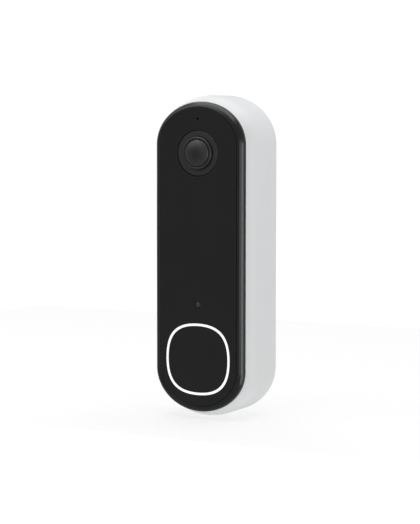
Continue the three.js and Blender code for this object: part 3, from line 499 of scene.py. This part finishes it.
def round_bar(name, radius, start, end, at, along="y", around=32):
    """A round bar between two places on its axis, for a hole or a post."""
    turn = {"y": (pi / 2, 0, 0), "z": (0, 0, 0)}[along]
    middle = (start + end) / 2
    place = (at[0], middle, at[1]) if along == "y" else (at[0], at[1], middle)
    bpy.ops.object.select_all(action="DESELECT")
    bpy.ops.mesh.primitive_cylinder_add(
        vertices=around, radius=radius, depth=abs(end - start), location=place, rotation=turn,
    )
    piece = bpy.context.object
    piece.name = name
    bpy.ops.object.transform_apply(location=True, rotation=True, scale=True)
    return piece


swelling = [
    inset_by(-FLARE * (1 - (1 - k / SWELL_STEPS) ** SWELL), SEAM_Y + SHOULDER * k / SWELL_STEPS)
    for k in range(SWELL_STEPS + 1)
]
housing = drawn("housing_shell", [
    inset_by(RECESS_INSET, RECESS_FLOOR),
    inset_by(RECESS_INSET, RIM_Y - RECESS_CHAMFER),
    inset_by(RECESS_INSET - RECESS_CHAMFER, RIM_Y),
    *rounded((RIM_ROUND - FLARE, RIM_Y), (-FLARE, RIM_Y - RIM_ROUND), steps=6),
    *reversed(swelling),
    inset_by(SIDE_WALL, SEAM_Y),
    inset_by(SIDE_WALL - FLARE, SEAM_Y + SHOULDER),
    inset_by(SIDE_WALL - FLARE, INSIDE_FLOOR),
])
boss_floor = WELL["floor"] - WELL["wall"]
boss_edge = WELL["half"] + WELL["wall"]
combine(housing, [block(
    "boss", (-boss_edge, boss_floor, WELL["z"][0] - WELL["wall"]),
    (boss_edge, INSIDE_FLOOR + BITE, WELL["z"][1] + WELL["wall"]),
)], "UNION")
through, behind = INSIDE_FLOOR - PAST, RECESS_FLOOR + PAST
pocket_floor = RECESS_FLOOR - COVER["thick"] - COVER_POCKET["below"]
cuts = [
    block("well", (-WELL["half"], WELL["floor"], WELL["z"][0]),
          (WELL["half"], behind, WELL["z"][1]), WELL["corner"]),
    block("cover_pocket",
          (PORT["x"] - COVER["half"][0] - COVER_POCKET["hinge_room"], pocket_floor,
           PORT["z"] - COVER["half"][1] - GAP),
          (PORT["x"] + COVER["half"][0] + GAP, behind, PORT["z"] + COVER["half"][1] + GAP),
          COVER_POCKET["corner"]),
    block("port_hole",
          (PORT["x"] - PORT["half"][0] - GAP, through, PORT["z"] - PORT["half"][1] - GAP),
          (PORT["x"] + PORT["half"][0] + GAP, behind, PORT["z"] + PORT["half"][1] + GAP),
          PORT["corner"]),
    round_bar("setup_hole", SETUP["radius"] + SETUP["gap"], through, behind,
              (SETUP["x"], SETUP["z"]), around=48),
    block("catch_slot",
          (-CATCH["half"] - CATCH_SLOT["side"], through, CATCH["z"][0] - CATCH_SLOT["below"]),
          (CATCH["half"] + CATCH_SLOT["side"], behind, CATCH_TOP + CATCH_SLOT["above"])),
    round_bar("release_hole", RELEASE_HOLE["radius"], *RELEASE_HOLE["z"], (0, RELEASE_HOLE["y"]),
              along="z"),
]
for side in (-1, 1):
    near, far = HOOK["x"][0] - HOOK_SLOT["side"], HOOK["x"][1] + HOOK_SLOT["side"]
    inner, outer = sorted((side * near, side * far))
    low, high = HOOK_SLOT["z"]
    cuts.append(block("hook_slot", (inner, through, low), (outer, behind, high)))
    cuts.append(round_bar("terminal_hole", TERMINALS["hole"], boss_floor - 2 * PAST, behind,
                          (side * TERMINALS["x"], TERMINALS["z"])))
for post in POSTS:
    cuts.append(round_bar("screw_hole", SCREW_HOLE["radius"], through, behind, post))
    cuts.append(round_bar("counterbore", SCREW_HOLE["counterbore"], INSIDE_FLOOR + SCREW_HOLE["ledge"],
                          behind, post, around=48))
wide, long = SOUND_SLOT["half"]
low, high = SOUND_SLOT["z"]
for k in range(SOUND_SLOT["count"]):
    middle = (k - (SOUND_SLOT["count"] - 1) / 2) * SOUND_SLOT["pitch"]
    cuts.append(block(
        "sound_slot", (middle - wide, SOUND_SLOT["y"] - long, low),
        (middle + wide, SOUND_SLOT["y"] + long, high), SOUND_SLOT["corner"], along="z", steps=6,
    ))
combine(housing, cuts)
finish_piece(housing)

body_white = moulded("body_white", (0.78, 0.797, 0.802), (0.797, 0.812, 0.817), 0.42, 0.004 * MM)
body_white.on(housing)
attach(housing, "doorbell")
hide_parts("rear_housing")

# ---- Front bezel -------------------------------------------------------------------------------
# The polished black rim, a ring that rounds over from the seam to the flat front. Its tongue
# slides inside the white body and squeezes the seal.

FRONT_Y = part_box("front_panel")[0].y
BEZEL_INSET = 2.3 * MM
BEZEL_ROUND = 2.4 * MM
BEZEL_LAND = 0.1 * MM  # the flat between its rounding and the window's recess
BEZEL_CHAMFER = 0.06 * MM
PANEL_BACK = FRONT_Y + 1.6 * MM
SEAT = 0.05 * MM  # the film of glue behind the window
TONGUE = {"outer": 2.3 * MM, "inner": 3.5 * MM, "back": -21 * MM}
LEDGE_INSET = 4.6 * MM


def polished(name, dark, light, roughness, smear):
    """Polished black plastic: smudges in its gloss, hairlines and a trace of orange peel."""
    finish = Finish(name)
    smudge = finish.noise(55, detail=5, roughness=0.6)
    peel = finish.noise(420, detail=1)
    hairline = finish.limited(finish.noise(900, detail=2, stretch=(1, 1, 0.04)), 0.66, 0.72)
    finish.feed(
        Base_Color=finish.blended(finish.limited(smudge, 0.35, 0.7), dark, light),
        Roughness=roughness + smear * (smudge - 0.5) + 0.05 * hairline,
        Normal=finish.raised(peel, 0.004 * MM),
    )
    return finish


bezel = drawn("bezel_ring", [
    *rounded((BEZEL_INSET, FRONT_Y), (0, FRONT_Y + BEZEL_ROUND), steps=14),
    inset_by(0, SEAM_Y),
    inset_by(TONGUE["outer"], SEAM_Y),
    inset_by(TONGUE["outer"], TONGUE["back"]),
    inset_by(TONGUE["inner"], TONGUE["back"]),
    inset_by(TONGUE["inner"], SEAM_Y),
    inset_by(LEDGE_INSET, SEAM_Y),
    inset_by(LEDGE_INSET, PANEL_BACK + SEAT),
    inset_by(BEZEL_INSET + BEZEL_LAND, PANEL_BACK + SEAT),
    inset_by(BEZEL_INSET + BEZEL_LAND, FRONT_Y + BEZEL_CHAMFER),
    inset_by(BEZEL_INSET + BEZEL_LAND * 0.5, FRONT_Y),
    inset_by(BEZEL_INSET, FRONT_Y),
], hollow=True)
rim_black = polished("rim_black", (0.006, 0.006, 0.0065), (0.009, 0.009, 0.0095), 0.24, 0.08)
rim_black.on(bezel)
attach(bezel, "doorbell")
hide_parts("front_bezel")

# ---- Front panel -------------------------------------------------------------------------------
# The dark window over the whole front, cut from polished acrylic that lets infrared through and
# bonded into the rim. It is pierced for the lens, the microphone, the sensors and the button.

PANEL_INSET = BEZEL_INSET + BEZEL_LAND + 0.14 * MM
MIC_Z = 56.4 * MM
LENS_Z = 42.5 * MM
SENSOR_Z = 31.2 * MM
STATUS_Z = -19.2 * MM
BUTTON_Z = -41.5 * MM
LENS_HOLE = 9.35 * MM
MIC_HOLE = 0.45 * MM
SENSOR_HOLE = 0.7 * MM
STATUS_HOLE = 1.35 * MM
RING = {"outer": 14.77 * MM, "inner": 13.63 * MM, "edge": 0.16 * MM, "gap": 0.06 * MM}
SQUARENESS = 0.6965  # of the button's outline: 0.5523 would make it a circle, 1 a square
PANEL_EDGE = 0.12 * MM
PANEL_CUT = (FRONT_Y - 1 * MM, PANEL_BACK + 1 * MM)  # depths that a cut through the window spans


def squircle(name, sizes):
    """A rounded-square piece drawn through (half size, depth) sections round the button's centre.

    It starts as a four-point Bezier circle whose handles are drawn out towards the corners.
    """
    half, y = sizes[0]
    bpy.ops.object.select_all(action="DESELECT")
    bpy.ops.curve.primitive_bezier_circle_add(radius=half, rotation=(pi / 2, 0, 0))
    piece = bpy.context.object
    piece.name = name
    piece.data.resolution_u = 16
    for point in piece.data.splines[0].bezier_points:
        point.handle_left_type = point.handle_right_type = "FREE"
        across = (point.handle_right - point.co).normalized() * SQUARENESS * half
        point.handle_right = point.co + across
        point.handle_left = point.co - across
    bpy.ops.object.convert(target="MESH")
    bpy.ops.object.transform_apply(location=True, rotation=True, scale=True)
    bpy.ops.object.mode_set(mode="EDIT")
    bpy.ops.mesh.select_all(action="SELECT")
    bpy.ops.mesh.remove_doubles(threshold=MERGE)
    bpy.ops.transform.translate(value=(0, y, BUTTON_Z))
    hollow = sizes[0] == sizes[-1]
    if not hollow:
        bpy.ops.mesh.edge_face_add()
    for size, depth in sizes[1:]:
        bpy.ops.mesh.extrude_region_move(TRANSFORM_OT_translate={"value": (0, depth - y, 0)})
        bpy.ops.transform.resize(value=(size / half, 1, size / half), center_override=(0, depth, BUTTON_Z))
        half, y = size, depth
    bpy.ops.object.mode_set(mode="OBJECT")
    return finish_piece(piece)


panel = drawn("front_window", [
    inset_by(PANEL_INSET + PANEL_EDGE, FRONT_Y),
    inset_by(PANEL_INSET + PANEL_EDGE * 0.3, FRONT_Y + PANEL_EDGE * 0.3),
    inset_by(PANEL_INSET, FRONT_Y + PANEL_EDGE),
    inset_by(PANEL_INSET, PANEL_BACK),
])
combine(panel, [
    round_bar("lens_hole", LENS_HOLE, *PANEL_CUT, (0, LENS_Z), around=128),
    round_bar("mic_hole", MIC_HOLE, *PANEL_CUT, (0, MIC_Z), around=24),
    round_bar("sensor_hole", SENSOR_HOLE, *PANEL_CUT, (0, SENSOR_Z), around=24),
    round_bar("status_hole", STATUS_HOLE, *PANEL_CUT, (0, STATUS_Z), around=48),
    squircle("button_hole", [(RING["outer"] + RING["gap"], y) for y in PANEL_CUT]),
])
finish_piece(panel)
window_black = polished("window_black", (0.0055, 0.0055, 0.006), (0.007, 0.007, 0.0075), 0.16, 0.06)
window_black.on(panel)
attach(panel, "doorbell")
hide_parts("front_panel")

# ---- Light ring --------------------------------------------------------------------------------
# A milky acrylic light guide round the call button, lit from behind by four LEDs on the main
# board. Its face glows, and its walls are masked with black ink so that no light leaks.

GUIDE_PROUD = 0.05 * MM
GUIDE_BACK = -22 * MM
GUIDE_FLANGE = {"outer": RING["outer"] + 0.8 * MM, "front": PANEL_BACK + SEAT, "back": PANEL_BACK + 0.9 * MM}
GUIDE_LIT = (0.8, 0.1)  # parts of the edge's depth: where the ink ends, and where the face is bare

guide_front = FRONT_Y - GUIDE_PROUD
edge = RING["edge"]
light_ring = squircle("light_guide", [
    (RING["inner"] + edge, guide_front),
    (RING["outer"] - edge, guide_front),
    (RING["outer"], guide_front + edge),
    (RING["outer"], GUIDE_FLANGE["front"]),
    (GUIDE_FLANGE["outer"], GUIDE_FLANGE["front"]),
    (GUIDE_FLANGE["outer"], GUIDE_FLANGE["back"]),
    (RING["outer"], GUIDE_FLANGE["back"]),
    (RING["outer"], GUIDE_BACK),
    (RING["inner"], GUIDE_BACK),
    (RING["inner"], guide_front + edge),
    (RING["inner"] + edge, guide_front),
])
glow = Finish("ring_glow", Roughness=0.35, Emission_Strength=0.95)
milk = glow.noise(260, detail=2)
depth = glow.node("ShaderNodeSeparateXYZ", None, {"Vector": glow.place}, output="Y")
lit = glow.limited(depth, guide_front + GUIDE_LIT[0] * edge, guide_front + GUIDE_LIT[1] * edge)
glow.feed(
    Base_Color=glow.blended(lit, (0.02, 0.02, 0.02), (0.28, 0.28, 0.29)),
    Emission_Color=glow.blended(
        lit, (0, 0, 0), glow.blended(milk, (0.94, 0.97, 1.0), (1.0, 1.0, 1.0)),
    ),
    Normal=glow.raised(glow.noise(2400), 0.004 * MM),
)
glow.on(light_ring)
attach(light_ring, "doorbell")
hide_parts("light_ring")

# ---- Call button -------------------------------------------------------------------------------
# The cap is a thick rounded-square moulding, polished like the window round it. A post on its back
# presses the switch through a silicone membrane.

BUTTON_HALF = RING["inner"] - 0.12 * MM
BUTTON_EDGE = 0.16 * MM
BUTTON_BACK = FRONT_Y + 1.9 * MM
POST = {"radius": 2.2 * MM, "end": -23.4 * MM}

button = squircle("call_button_cap", [
    (BUTTON_HALF - BUTTON_EDGE, FRONT_Y),
    (BUTTON_HALF - BUTTON_EDGE * 0.3, FRONT_Y + BUTTON_EDGE * 0.3),
    (BUTTON_HALF, FRONT_Y + BUTTON_EDGE),
    (BUTTON_HALF, BUTTON_BACK),
])
combine(button, [
    round_bar("post", POST["radius"], BUTTON_BACK - BITE, POST["end"], (0, BUTTON_Z), around=48),
], "UNION")
finish_piece(button)
window_black.on(button)
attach(button, "call_button")
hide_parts("button_cap")

# ---- Status light ------------------------------------------------------------------------------
# A smoky moulded light pipe, its end domed and polished, that shows through a hole in the window.
# Its flange rests against the window's back, in front of a small LED.

PIPE = {"radius": 1.2 * MM, "flange": 2.0 * MM, "back": -21.9 * MM, "dome": 0.25 * MM}
PIPE_FLANGE = (PANEL_BACK + SEAT, PANEL_BACK + 0.8 * MM)
DOME_STEPS = 6

dome = [
    (PIPE["radius"] * cos(bend), FRONT_Y + PIPE["dome"] * (1 - sin(bend)))
    for bend in (k / DOME_STEPS * pi / 2 for k in range(DOME_STEPS))
]
pipe = drawn("status_pipe", [
    (radius, radius, y) for radius, y in (
        *reversed(dome),
        (PIPE["radius"], PIPE_FLANGE[0]),
        (PIPE["flange"], PIPE_FLANGE[0]),
        (PIPE["flange"], PIPE_FLANGE[1]),
        (PIPE["radius"], PIPE_FLANGE[1]),
        (PIPE["radius"], PIPE["back"]),
    )
], caps_z=0, at=(0, STATUS_Z), around=48)
smoke = moulded("smoky_guide", (0.036, 0.036, 0.038), (0.048, 0.048, 0.05), 0.35, 0.002 * MM)
smoke.on(pipe)
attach(pipe, "doorbell")
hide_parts("status_light_pipe")

# ---- Light sensor window -----------------------------------------------------------------------
# A short plug of the same smoky plastic that fills the hole under the lens, a little below the
# window's face, and passes daylight to the sensor behind it.

SENSOR_PLUG = {"radius": 0.62 * MM, "sunk": 0.08 * MM, "edge": 0.06 * MM}

plug_front = FRONT_Y + SENSOR_PLUG["sunk"]
sensor_window = drawn("sensor_window", [
    (radius, radius, y) for radius, y in (
        (SENSOR_PLUG["radius"] - SENSOR_PLUG["edge"], plug_front),
        (SENSOR_PLUG["radius"], plug_front + SENSOR_PLUG["edge"]),
        (SENSOR_PLUG["radius"], PANEL_BACK),
    )
], caps_z=0, at=(0, SENSOR_Z), around=32)
dark_smoke = moulded("dark_smoke", (0.009, 0.009, 0.0095), (0.012, 0.012, 0.0125), 0.4, 0.002 * MM)
dark_smoke.on(sensor_window)
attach(sensor_window, "doorbell")

# ---- Lens trim ring ----------------------------------------------------------------------------
# A flat moulded ring of satin black plastic that fills the window's round hole, almost level with
# its face. The lens barrel stands in its middle.

BARREL_RADIUS = 6.7 * MM
TRIM = {"inner": BARREL_RADIUS + 0.1 * MM, "outer": 9.2 * MM, "sunk": 0.05 * MM, "back": 2.6 * MM}
TRIM_CHAMFER = {"inner": (0.12 * MM, 0.08 * MM), "outer": (0.2 * MM, 0.18 * MM)}  # width and depth


def turned(name, profile, at=(0, LENS_Z), around=128, hollow=True):
    """Turn a piece about an axis along Y, if not told the lens's, through (radius, depth) corners."""
    sections = [(radius, radius, y) for radius, y in profile]
    if hollow:
        sections.append(sections[0])
    return drawn(name, sections, caps_z=0, at=at, around=around, hollow=hollow)


trim_front = FRONT_Y + TRIM["sunk"]
trim = turned("lens_trim", [
    (TRIM["inner"], trim_front + TRIM_CHAMFER["inner"][1]),
    (TRIM["inner"] + TRIM_CHAMFER["inner"][0], trim_front),
    (TRIM["outer"] - TRIM_CHAMFER["outer"][0], trim_front),
    (TRIM["outer"], trim_front + TRIM_CHAMFER["outer"][1]),
    (TRIM["outer"], FRONT_Y + TRIM["back"]),
    (TRIM["inner"], FRONT_Y + TRIM["back"]),
])
satin_black = moulded("satin_black", (0.018, 0.018, 0.0185), (0.023, 0.023, 0.0235), 0.42, 0.003 * MM)
satin_black.on(trim)
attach(trim, "doorbell")
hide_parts("lens_trim_ring")

# ---- Lens barrel -------------------------------------------------------------------------------
# The barrel that carries the glass: a turned and blackened ring, its front edge rounded over, that
# stands a little proud of the window. Inside, a ledge holds the glass and a cone shades it.

BARREL = {"front": FRONT_Y - 1.1 * MM, "step": -20.5 * MM, "back": -16.4 * MM, "tail": 5 * MM,
          "crown": 0.5 * MM}
GLASS = {"radius": 5.45 * MM, "back": -25.3 * MM}
GLASS_SEAT = {"outer": GLASS["radius"] + 0.1 * MM, "inner": GLASS["radius"] - 0.6 * MM, "y": -25.2 * MM}
SHADE = {"radius": 3.2 * MM, "front": -24.6 * MM, "back": -22 * MM}
CROWN_STEPS = 12

ring_middle = (GLASS_SEAT["outer"] + BARREL_RADIUS) / 2
ring_half = BARREL_RADIUS - ring_middle
crown = [
    (ring_middle - ring_half * cos(bend), BARREL["front"] + BARREL["crown"] * (1 - sin(bend)))
    for bend in (k / CROWN_STEPS * pi for k in range(CROWN_STEPS + 1))
]
barrel = turned("lens_barrel_turned", [
    *crown,
    (BARREL_RADIUS, BARREL["step"]),
    (BARREL["tail"], BARREL["step"]),
    (BARREL["tail"], BARREL["back"]),
    (SHADE["radius"], BARREL["back"]),
    (SHADE["radius"], SHADE["back"]),
    (GLASS_SEAT["inner"], SHADE["front"]),
    (GLASS_SEAT["inner"], GLASS_SEAT["y"]),
    (GLASS_SEAT["outer"], GLASS_SEAT["y"]),
])
satin_black.on(barrel)
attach(barrel, "doorbell")
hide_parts("lens_barrel")

# ---- Lens glass --------------------------------------------------------------------------------
# The front element bulges like a button and is hollow behind; a smaller element sits deep inside
# the barrel. Both are coated and look dark. The front one's colour carries a painted shade: darkest
# in its middle, where the dark inside would show through, and greyer round its edge.

FRONT_BULGE = {"edge": BARREL["front"] + 0.2 * MM, "sag": 1.2 * MM}
FRONT_HOLLOW = {"radius": 4 * MM, "sag": 0.7 * MM}
PAINTED_SHADE_EDGE = (3.3 * MM, 5.2 * MM)  # distance from the element's middle over which the painted shade of the dark eye fades to grey
REAR_GLASS = {"radius": 2.9 * MM, "edge": -20 * MM, "sag": 0.6 * MM, "back": -19 * MM}
GLASS_STEPS = 10


def bulging(radius, edge, sag):
    """The profile of a glass's bulging front, from just off its middle to its edge."""
    bends = [(k + 1) / GLASS_STEPS * pi / 2 for k in range(GLASS_STEPS)]
    return [(radius * sin(bend), edge - sag * cos(bend)) for bend in bends]


hollow_back = [
    (FRONT_HOLLOW["radius"] * cos(bend), GLASS["back"] - FRONT_HOLLOW["sag"] * sin(bend))
    for bend in (k / GLASS_STEPS * pi / 2 for k in range(GLASS_STEPS))
]
front_glass = turned("front_element", [
    *bulging(GLASS["radius"], FRONT_BULGE["edge"], FRONT_BULGE["sag"]),
    (GLASS["radius"], GLASS["back"]),
    *hollow_back,
], hollow=False)
coated = Finish("coated_glass", IOR=1.45, Transmission_Weight=0.3)
off_axis = coated.node("ShaderNodeVectorMath", {"operation": "DISTANCE"}, {
    0: coated.place, 1: (0, GLASS["back"], LENS_Z),
}, output="Value")
# painted shade: the glass's colour is darkest in its middle, standing in for the dark inside seen through
# it, and greyer round its edge
painted_pupil_shade = coated.limited(off_axis, *PAINTED_SHADE_EDGE)
coated.feed(
    Base_Color=coated.blended(painted_pupil_shade, (0.019, 0.019, 0.021), (0.06, 0.061, 0.065)),
    Roughness=0.3 + 0.06 * coated.noise(300, detail=2),
)
coated.on(front_glass)
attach(front_glass, "doorbell")
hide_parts("lens_front_glass")

rear_glass = turned("rear_element", [
    *bulging(REAR_GLASS["radius"], REAR_GLASS["edge"], REAR_GLASS["sag"]),
    (REAR_GLASS["radius"], REAR_GLASS["back"]),
], hollow=False)
deep_coat = Finish("deep_coated_glass", Roughness=0.05, IOR=1.6)
bloom = deep_coat.noise(400, detail=2)
deep_coat.feed(Base_Color=deep_coat.blended(bloom, (0.012, 0.012, 0.03), (0.02, 0.014, 0.035)))
deep_coat.on(rear_glass)
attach(rear_glass, "doorbell")
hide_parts("lens_rear_glass")

# ---- Wire terminals ----------------------------------------------------------------------------
# Two plated brass screws with washers' broad heads, crossed for a driver, each on its own brass
# plate in the well in the back.

HEAD = {"radius": 2.9 * MM, "front": -5.6 * MM, "back": -3.75 * MM}
HEAD_EDGE = ((0, 0.5 * MM), (0.2 * MM, 0.15 * MM), (0.7 * MM, 0))  # in from its side, and down
CROSS = {"half": (0.35 * MM, 1.8 * MM), "deep": 0.8 * MM}
SHANK = {"radius": 1.15 * MM, "front": -10.8 * MM, "tip": 0.4 * MM, "taper": 0.7}

brass = Finish("plated_brass", Metallic=1.0)
tarnish = brass.noise(700, detail=4)
brass.feed(
    Base_Color=brass.blended(tarnish, (0.72, 0.53, 0.24), (0.83, 0.66, 0.34)),
    Roughness=0.24 + 0.2 * tarnish,
    Normal=brass.raised(brass.noise(6000, detail=2, stretch=(1, 6, 1)), 0.003 * MM),
)
for side, word in ((-1, "left"), (1, "right")):
    centre = (side * TERMINALS["x"], TERMINALS["z"])
    screw = turned(f"terminal_screw_turned_{word}", [
        (SHANK["radius"] * SHANK["taper"], SHANK["front"]),
        (SHANK["radius"], SHANK["front"] + SHANK["tip"]),
        (SHANK["radius"], HEAD["front"]),
        (HEAD["radius"], HEAD["front"]),
        *((HEAD["radius"] - inward, HEAD["back"] - down) for inward, down in HEAD_EDGE),
    ], at=centre, around=48, hollow=False)
    thin, long = CROSS["half"]
    combine(screw, [
        block("cross", (centre[0] - a, HEAD["back"] - CROSS["deep"], centre[1] - b),
              (centre[0] + a, 0, centre[1] + b))
        for a, b in ((thin, long), (long, thin))
    ])
    finish_piece(screw)
    brass.on(screw, frame["nodes"][f"terminal_plate_{word}"])
    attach(screw, "doorbell")
    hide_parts(f"terminal_screw_{word}")

# ---- Port cover --------------------------------------------------------------------------------
# A grey silicone flap over the charging port, with a plug that seals the mouth, an edge that it
# turns on, and a ridge for a fingernail.

HINGE_LIP = 0.35 * MM  # past the axis that the flap turns on
COVER_EDGE = 0.12 * MM
PLUG = {"half": (3.8 * MM, 0.95 * MM), "long": 1.75 * MM, "bite": 0.1 * MM, "corner": 0.9 * MM}
RIDGE = {"in": (1.6 * MM, 0.8 * MM), "half": 1.6 * MM, "y": (-0.1 * MM, 0.35 * MM), "corner": 0.3 * MM}

silicone = moulded("grey_silicone", (0.23, 0.24, 0.245), (0.28, 0.285, 0.29), 0.62, 0.006 * MM)

cover_front = RECESS_FLOOR - COVER["thick"]
cover_end = PORT["x"] + COVER["half"][0]
cover = block("port_cover_flap",
              (COVER["hinge"] - HINGE_LIP, cover_front, PORT["z"] - COVER["half"][1]),
              (cover_end, RECESS_FLOOR, PORT["z"] + COVER["half"][1]), COVER["corner"])
wide, tall = PLUG["half"]
combine(cover, [
    block("plug", (PORT["x"] - wide, cover_front - PLUG["long"], PORT["z"] - tall),
          (PORT["x"] + wide, cover_front + PLUG["bite"], PORT["z"] + tall), PLUG["corner"]),
    block("ridge",
          (cover_end - RIDGE["in"][0], RECESS_FLOOR + RIDGE["y"][0], PORT["z"] - RIDGE["half"]),
          (cover_end - RIDGE["in"][1], RECESS_FLOOR + RIDGE["y"][1], PORT["z"] + RIDGE["half"]),
          RIDGE["corner"]),
], "UNION")
soften(cover, COVER_EDGE, segments=2)
silicone.on(cover)
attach(cover, "port_cover")
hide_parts("usb_port_cover")

# ---- Setup button ------------------------------------------------------------------------------
# A small silicone button beside the port, dished for a fingertip. A flange inside the body keeps
# it in its hole, and its stem reaches the switch.

STEM = {"radius": 1.2 * MM, "end": -8.4 * MM}
SETUP_FLANGE = {"radius": SETUP["radius"] + 0.9 * MM, "front": INSIDE_FLOOR - 0.9 * MM}
SETUP_EDGE = 0.35 * MM
DISH = ((0.7 * MM, 0.05 * MM), (1.6 * MM, 0.3 * MM), (2.3 * MM, 0.36 * MM))  # in from the rim, and down

setup_back = RECESS_FLOOR - SETUP["sunk"]
setup = turned("setup_button", [
    (STEM["radius"], STEM["end"]),
    (STEM["radius"], SETUP_FLANGE["front"]),
    (SETUP_FLANGE["radius"], SETUP_FLANGE["front"]),
    (SETUP_FLANGE["radius"], INSIDE_FLOOR - GAP),
    (SETUP["radius"], INSIDE_FLOOR - GAP),
    (SETUP["radius"], setup_back - SETUP_EDGE),
    (SETUP["radius"] - SETUP_EDGE, setup_back),
    *((SETUP["radius"] - inward, setup_back - down) for inward, down in DISH),
], at=(SETUP["x"], SETUP["z"]), around=64, hollow=False)
silicone.on(setup)
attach(setup, "sync_cap")
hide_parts("sync_button")

# ---- Case screws -------------------------------------------------------------------------------
# Four plated machine screws with six-sided sockets, their heads in counterbores in the body's back.
# They draw the front and the body together.

CASE_HEAD = {"radius": 2.0 * MM, "front": -4.95 * MM, "back": -3.65 * MM, "chamfer": 0.25 * MM}
CASE_SOCKET = {"radius": 0.95 * MM, "deep": 0.9 * MM}
CASE_SHANK = {"radius": 1.0 * MM, "point": 0.8 * MM, "front": INSIDE_FLOOR - 7 * MM, "tip": 0.3 * MM}

steel = Finish("plated_steel", Metallic=1.0)
brushed = steel.noise(2600, roughness=0.6, stretch=(1, 1, 0.15))
steel.feed(
    Base_Color=steel.blended(brushed, (0.5, 0.51, 0.53), (0.62, 0.63, 0.65)),
    Roughness=0.26 + 0.16 * brushed,
    Normal=steel.raised(brushed, 0.002 * MM),
)
for k, post in enumerate(POSTS, 1):
    screw = turned(f"case_screw_turned_{k}", [
        (CASE_SHANK["point"], CASE_SHANK["front"]),
        (CASE_SHANK["radius"], CASE_SHANK["front"] + CASE_SHANK["tip"]),
        (CASE_SHANK["radius"], CASE_HEAD["front"]),
        (CASE_HEAD["radius"], CASE_HEAD["front"]),
        (CASE_HEAD["radius"], CASE_HEAD["back"] - CASE_HEAD["chamfer"]),
        (CASE_HEAD["radius"] - CASE_HEAD["chamfer"], CASE_HEAD["back"]),
    ], at=post, around=48, hollow=False)
    combine(screw, [
        round_bar("socket", CASE_SOCKET["radius"], CASE_HEAD["back"] - CASE_SOCKET["deep"], 0, post,
                  around=6),
    ])
    finish_piece(screw)
    steel.on(screw)
    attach(screw, "doorbell")
    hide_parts(f"case_screw_{k}")

# ---- Inner pieces ------------------------------------------------------------------------------
# The boards, cans, chips, wires, springs and frames inside keep the shapes they have, each in the
# finish of what it is made of.

black_plastic = moulded("black_plastic", (0.011, 0.011, 0.0115), (0.017, 0.017, 0.0175), 0.6, 0.006 * MM)
rubber = moulded("black_rubber", (0.012, 0.012, 0.012), (0.02, 0.02, 0.02), 0.75, 0.008 * MM, specular=0.3)
nylon = moulded("white_nylon", (0.62, 0.6, 0.54), (0.7, 0.68, 0.63), 0.5, 0.004 * MM)
package = moulded("led_package", (0.72, 0.69, 0.5), (0.8, 0.78, 0.66), 0.35, 0.002 * MM)
chip = moulded("chip_package", (0.018, 0.022, 0.032), (0.028, 0.032, 0.04), 0.3, 0.002 * MM)
film = moulded("battery_film", (0.03, 0.09, 0.2), (0.04, 0.12, 0.25), 0.3, 0.004 * MM)
red_wire = moulded("red_insulation", (0.33, 0.012, 0.012), (0.42, 0.02, 0.02), 0.45, 0.004 * MM)
foil = moulded("copper_flex", (0.4, 0.17, 0.06), (0.52, 0.25, 0.1), 0.35, 0.003 * MM)

board = Finish("solder_mask")
track = board.node("ShaderNodeTexBrick", None, {
    "Vector": board.place, "Scale": 420.0, "Mortar Size": 0.07, "Color1": (0, 0, 0, 1),
    "Color2": (0, 0, 0, 1), "Mortar": (1, 1, 1, 1),
}, output=1)
board.feed(
    Base_Color=board.blended(track, (0.006, 0.07, 0.03), (0.02, 0.14, 0.06)),
    Roughness=0.32 + 0.15 * board.noise(900),
    Normal=board.raised(track, 0.02 * MM),
)
finish_of_slot = {
    "black_matte": black_plastic, "rubber_black": rubber, "socket_white": nylon, "led": package,
    "chip": chip, "battery_wrap": film, "wire_red": red_wire, "wire_black": black_plastic,
    "flex_copper": foil, "circuit_board": board, "steel": steel, "smoke_guide": smoke,
    "silicone_grey": silicone,
}
for entry in frame["record"]["subparts"]:
    node = frame["nodes"][entry["node"]]
    if entry["material_slot"] in finish_of_slot and not node.hide_render:
        finish_of_slot[entry["material_slot"]].on(node)
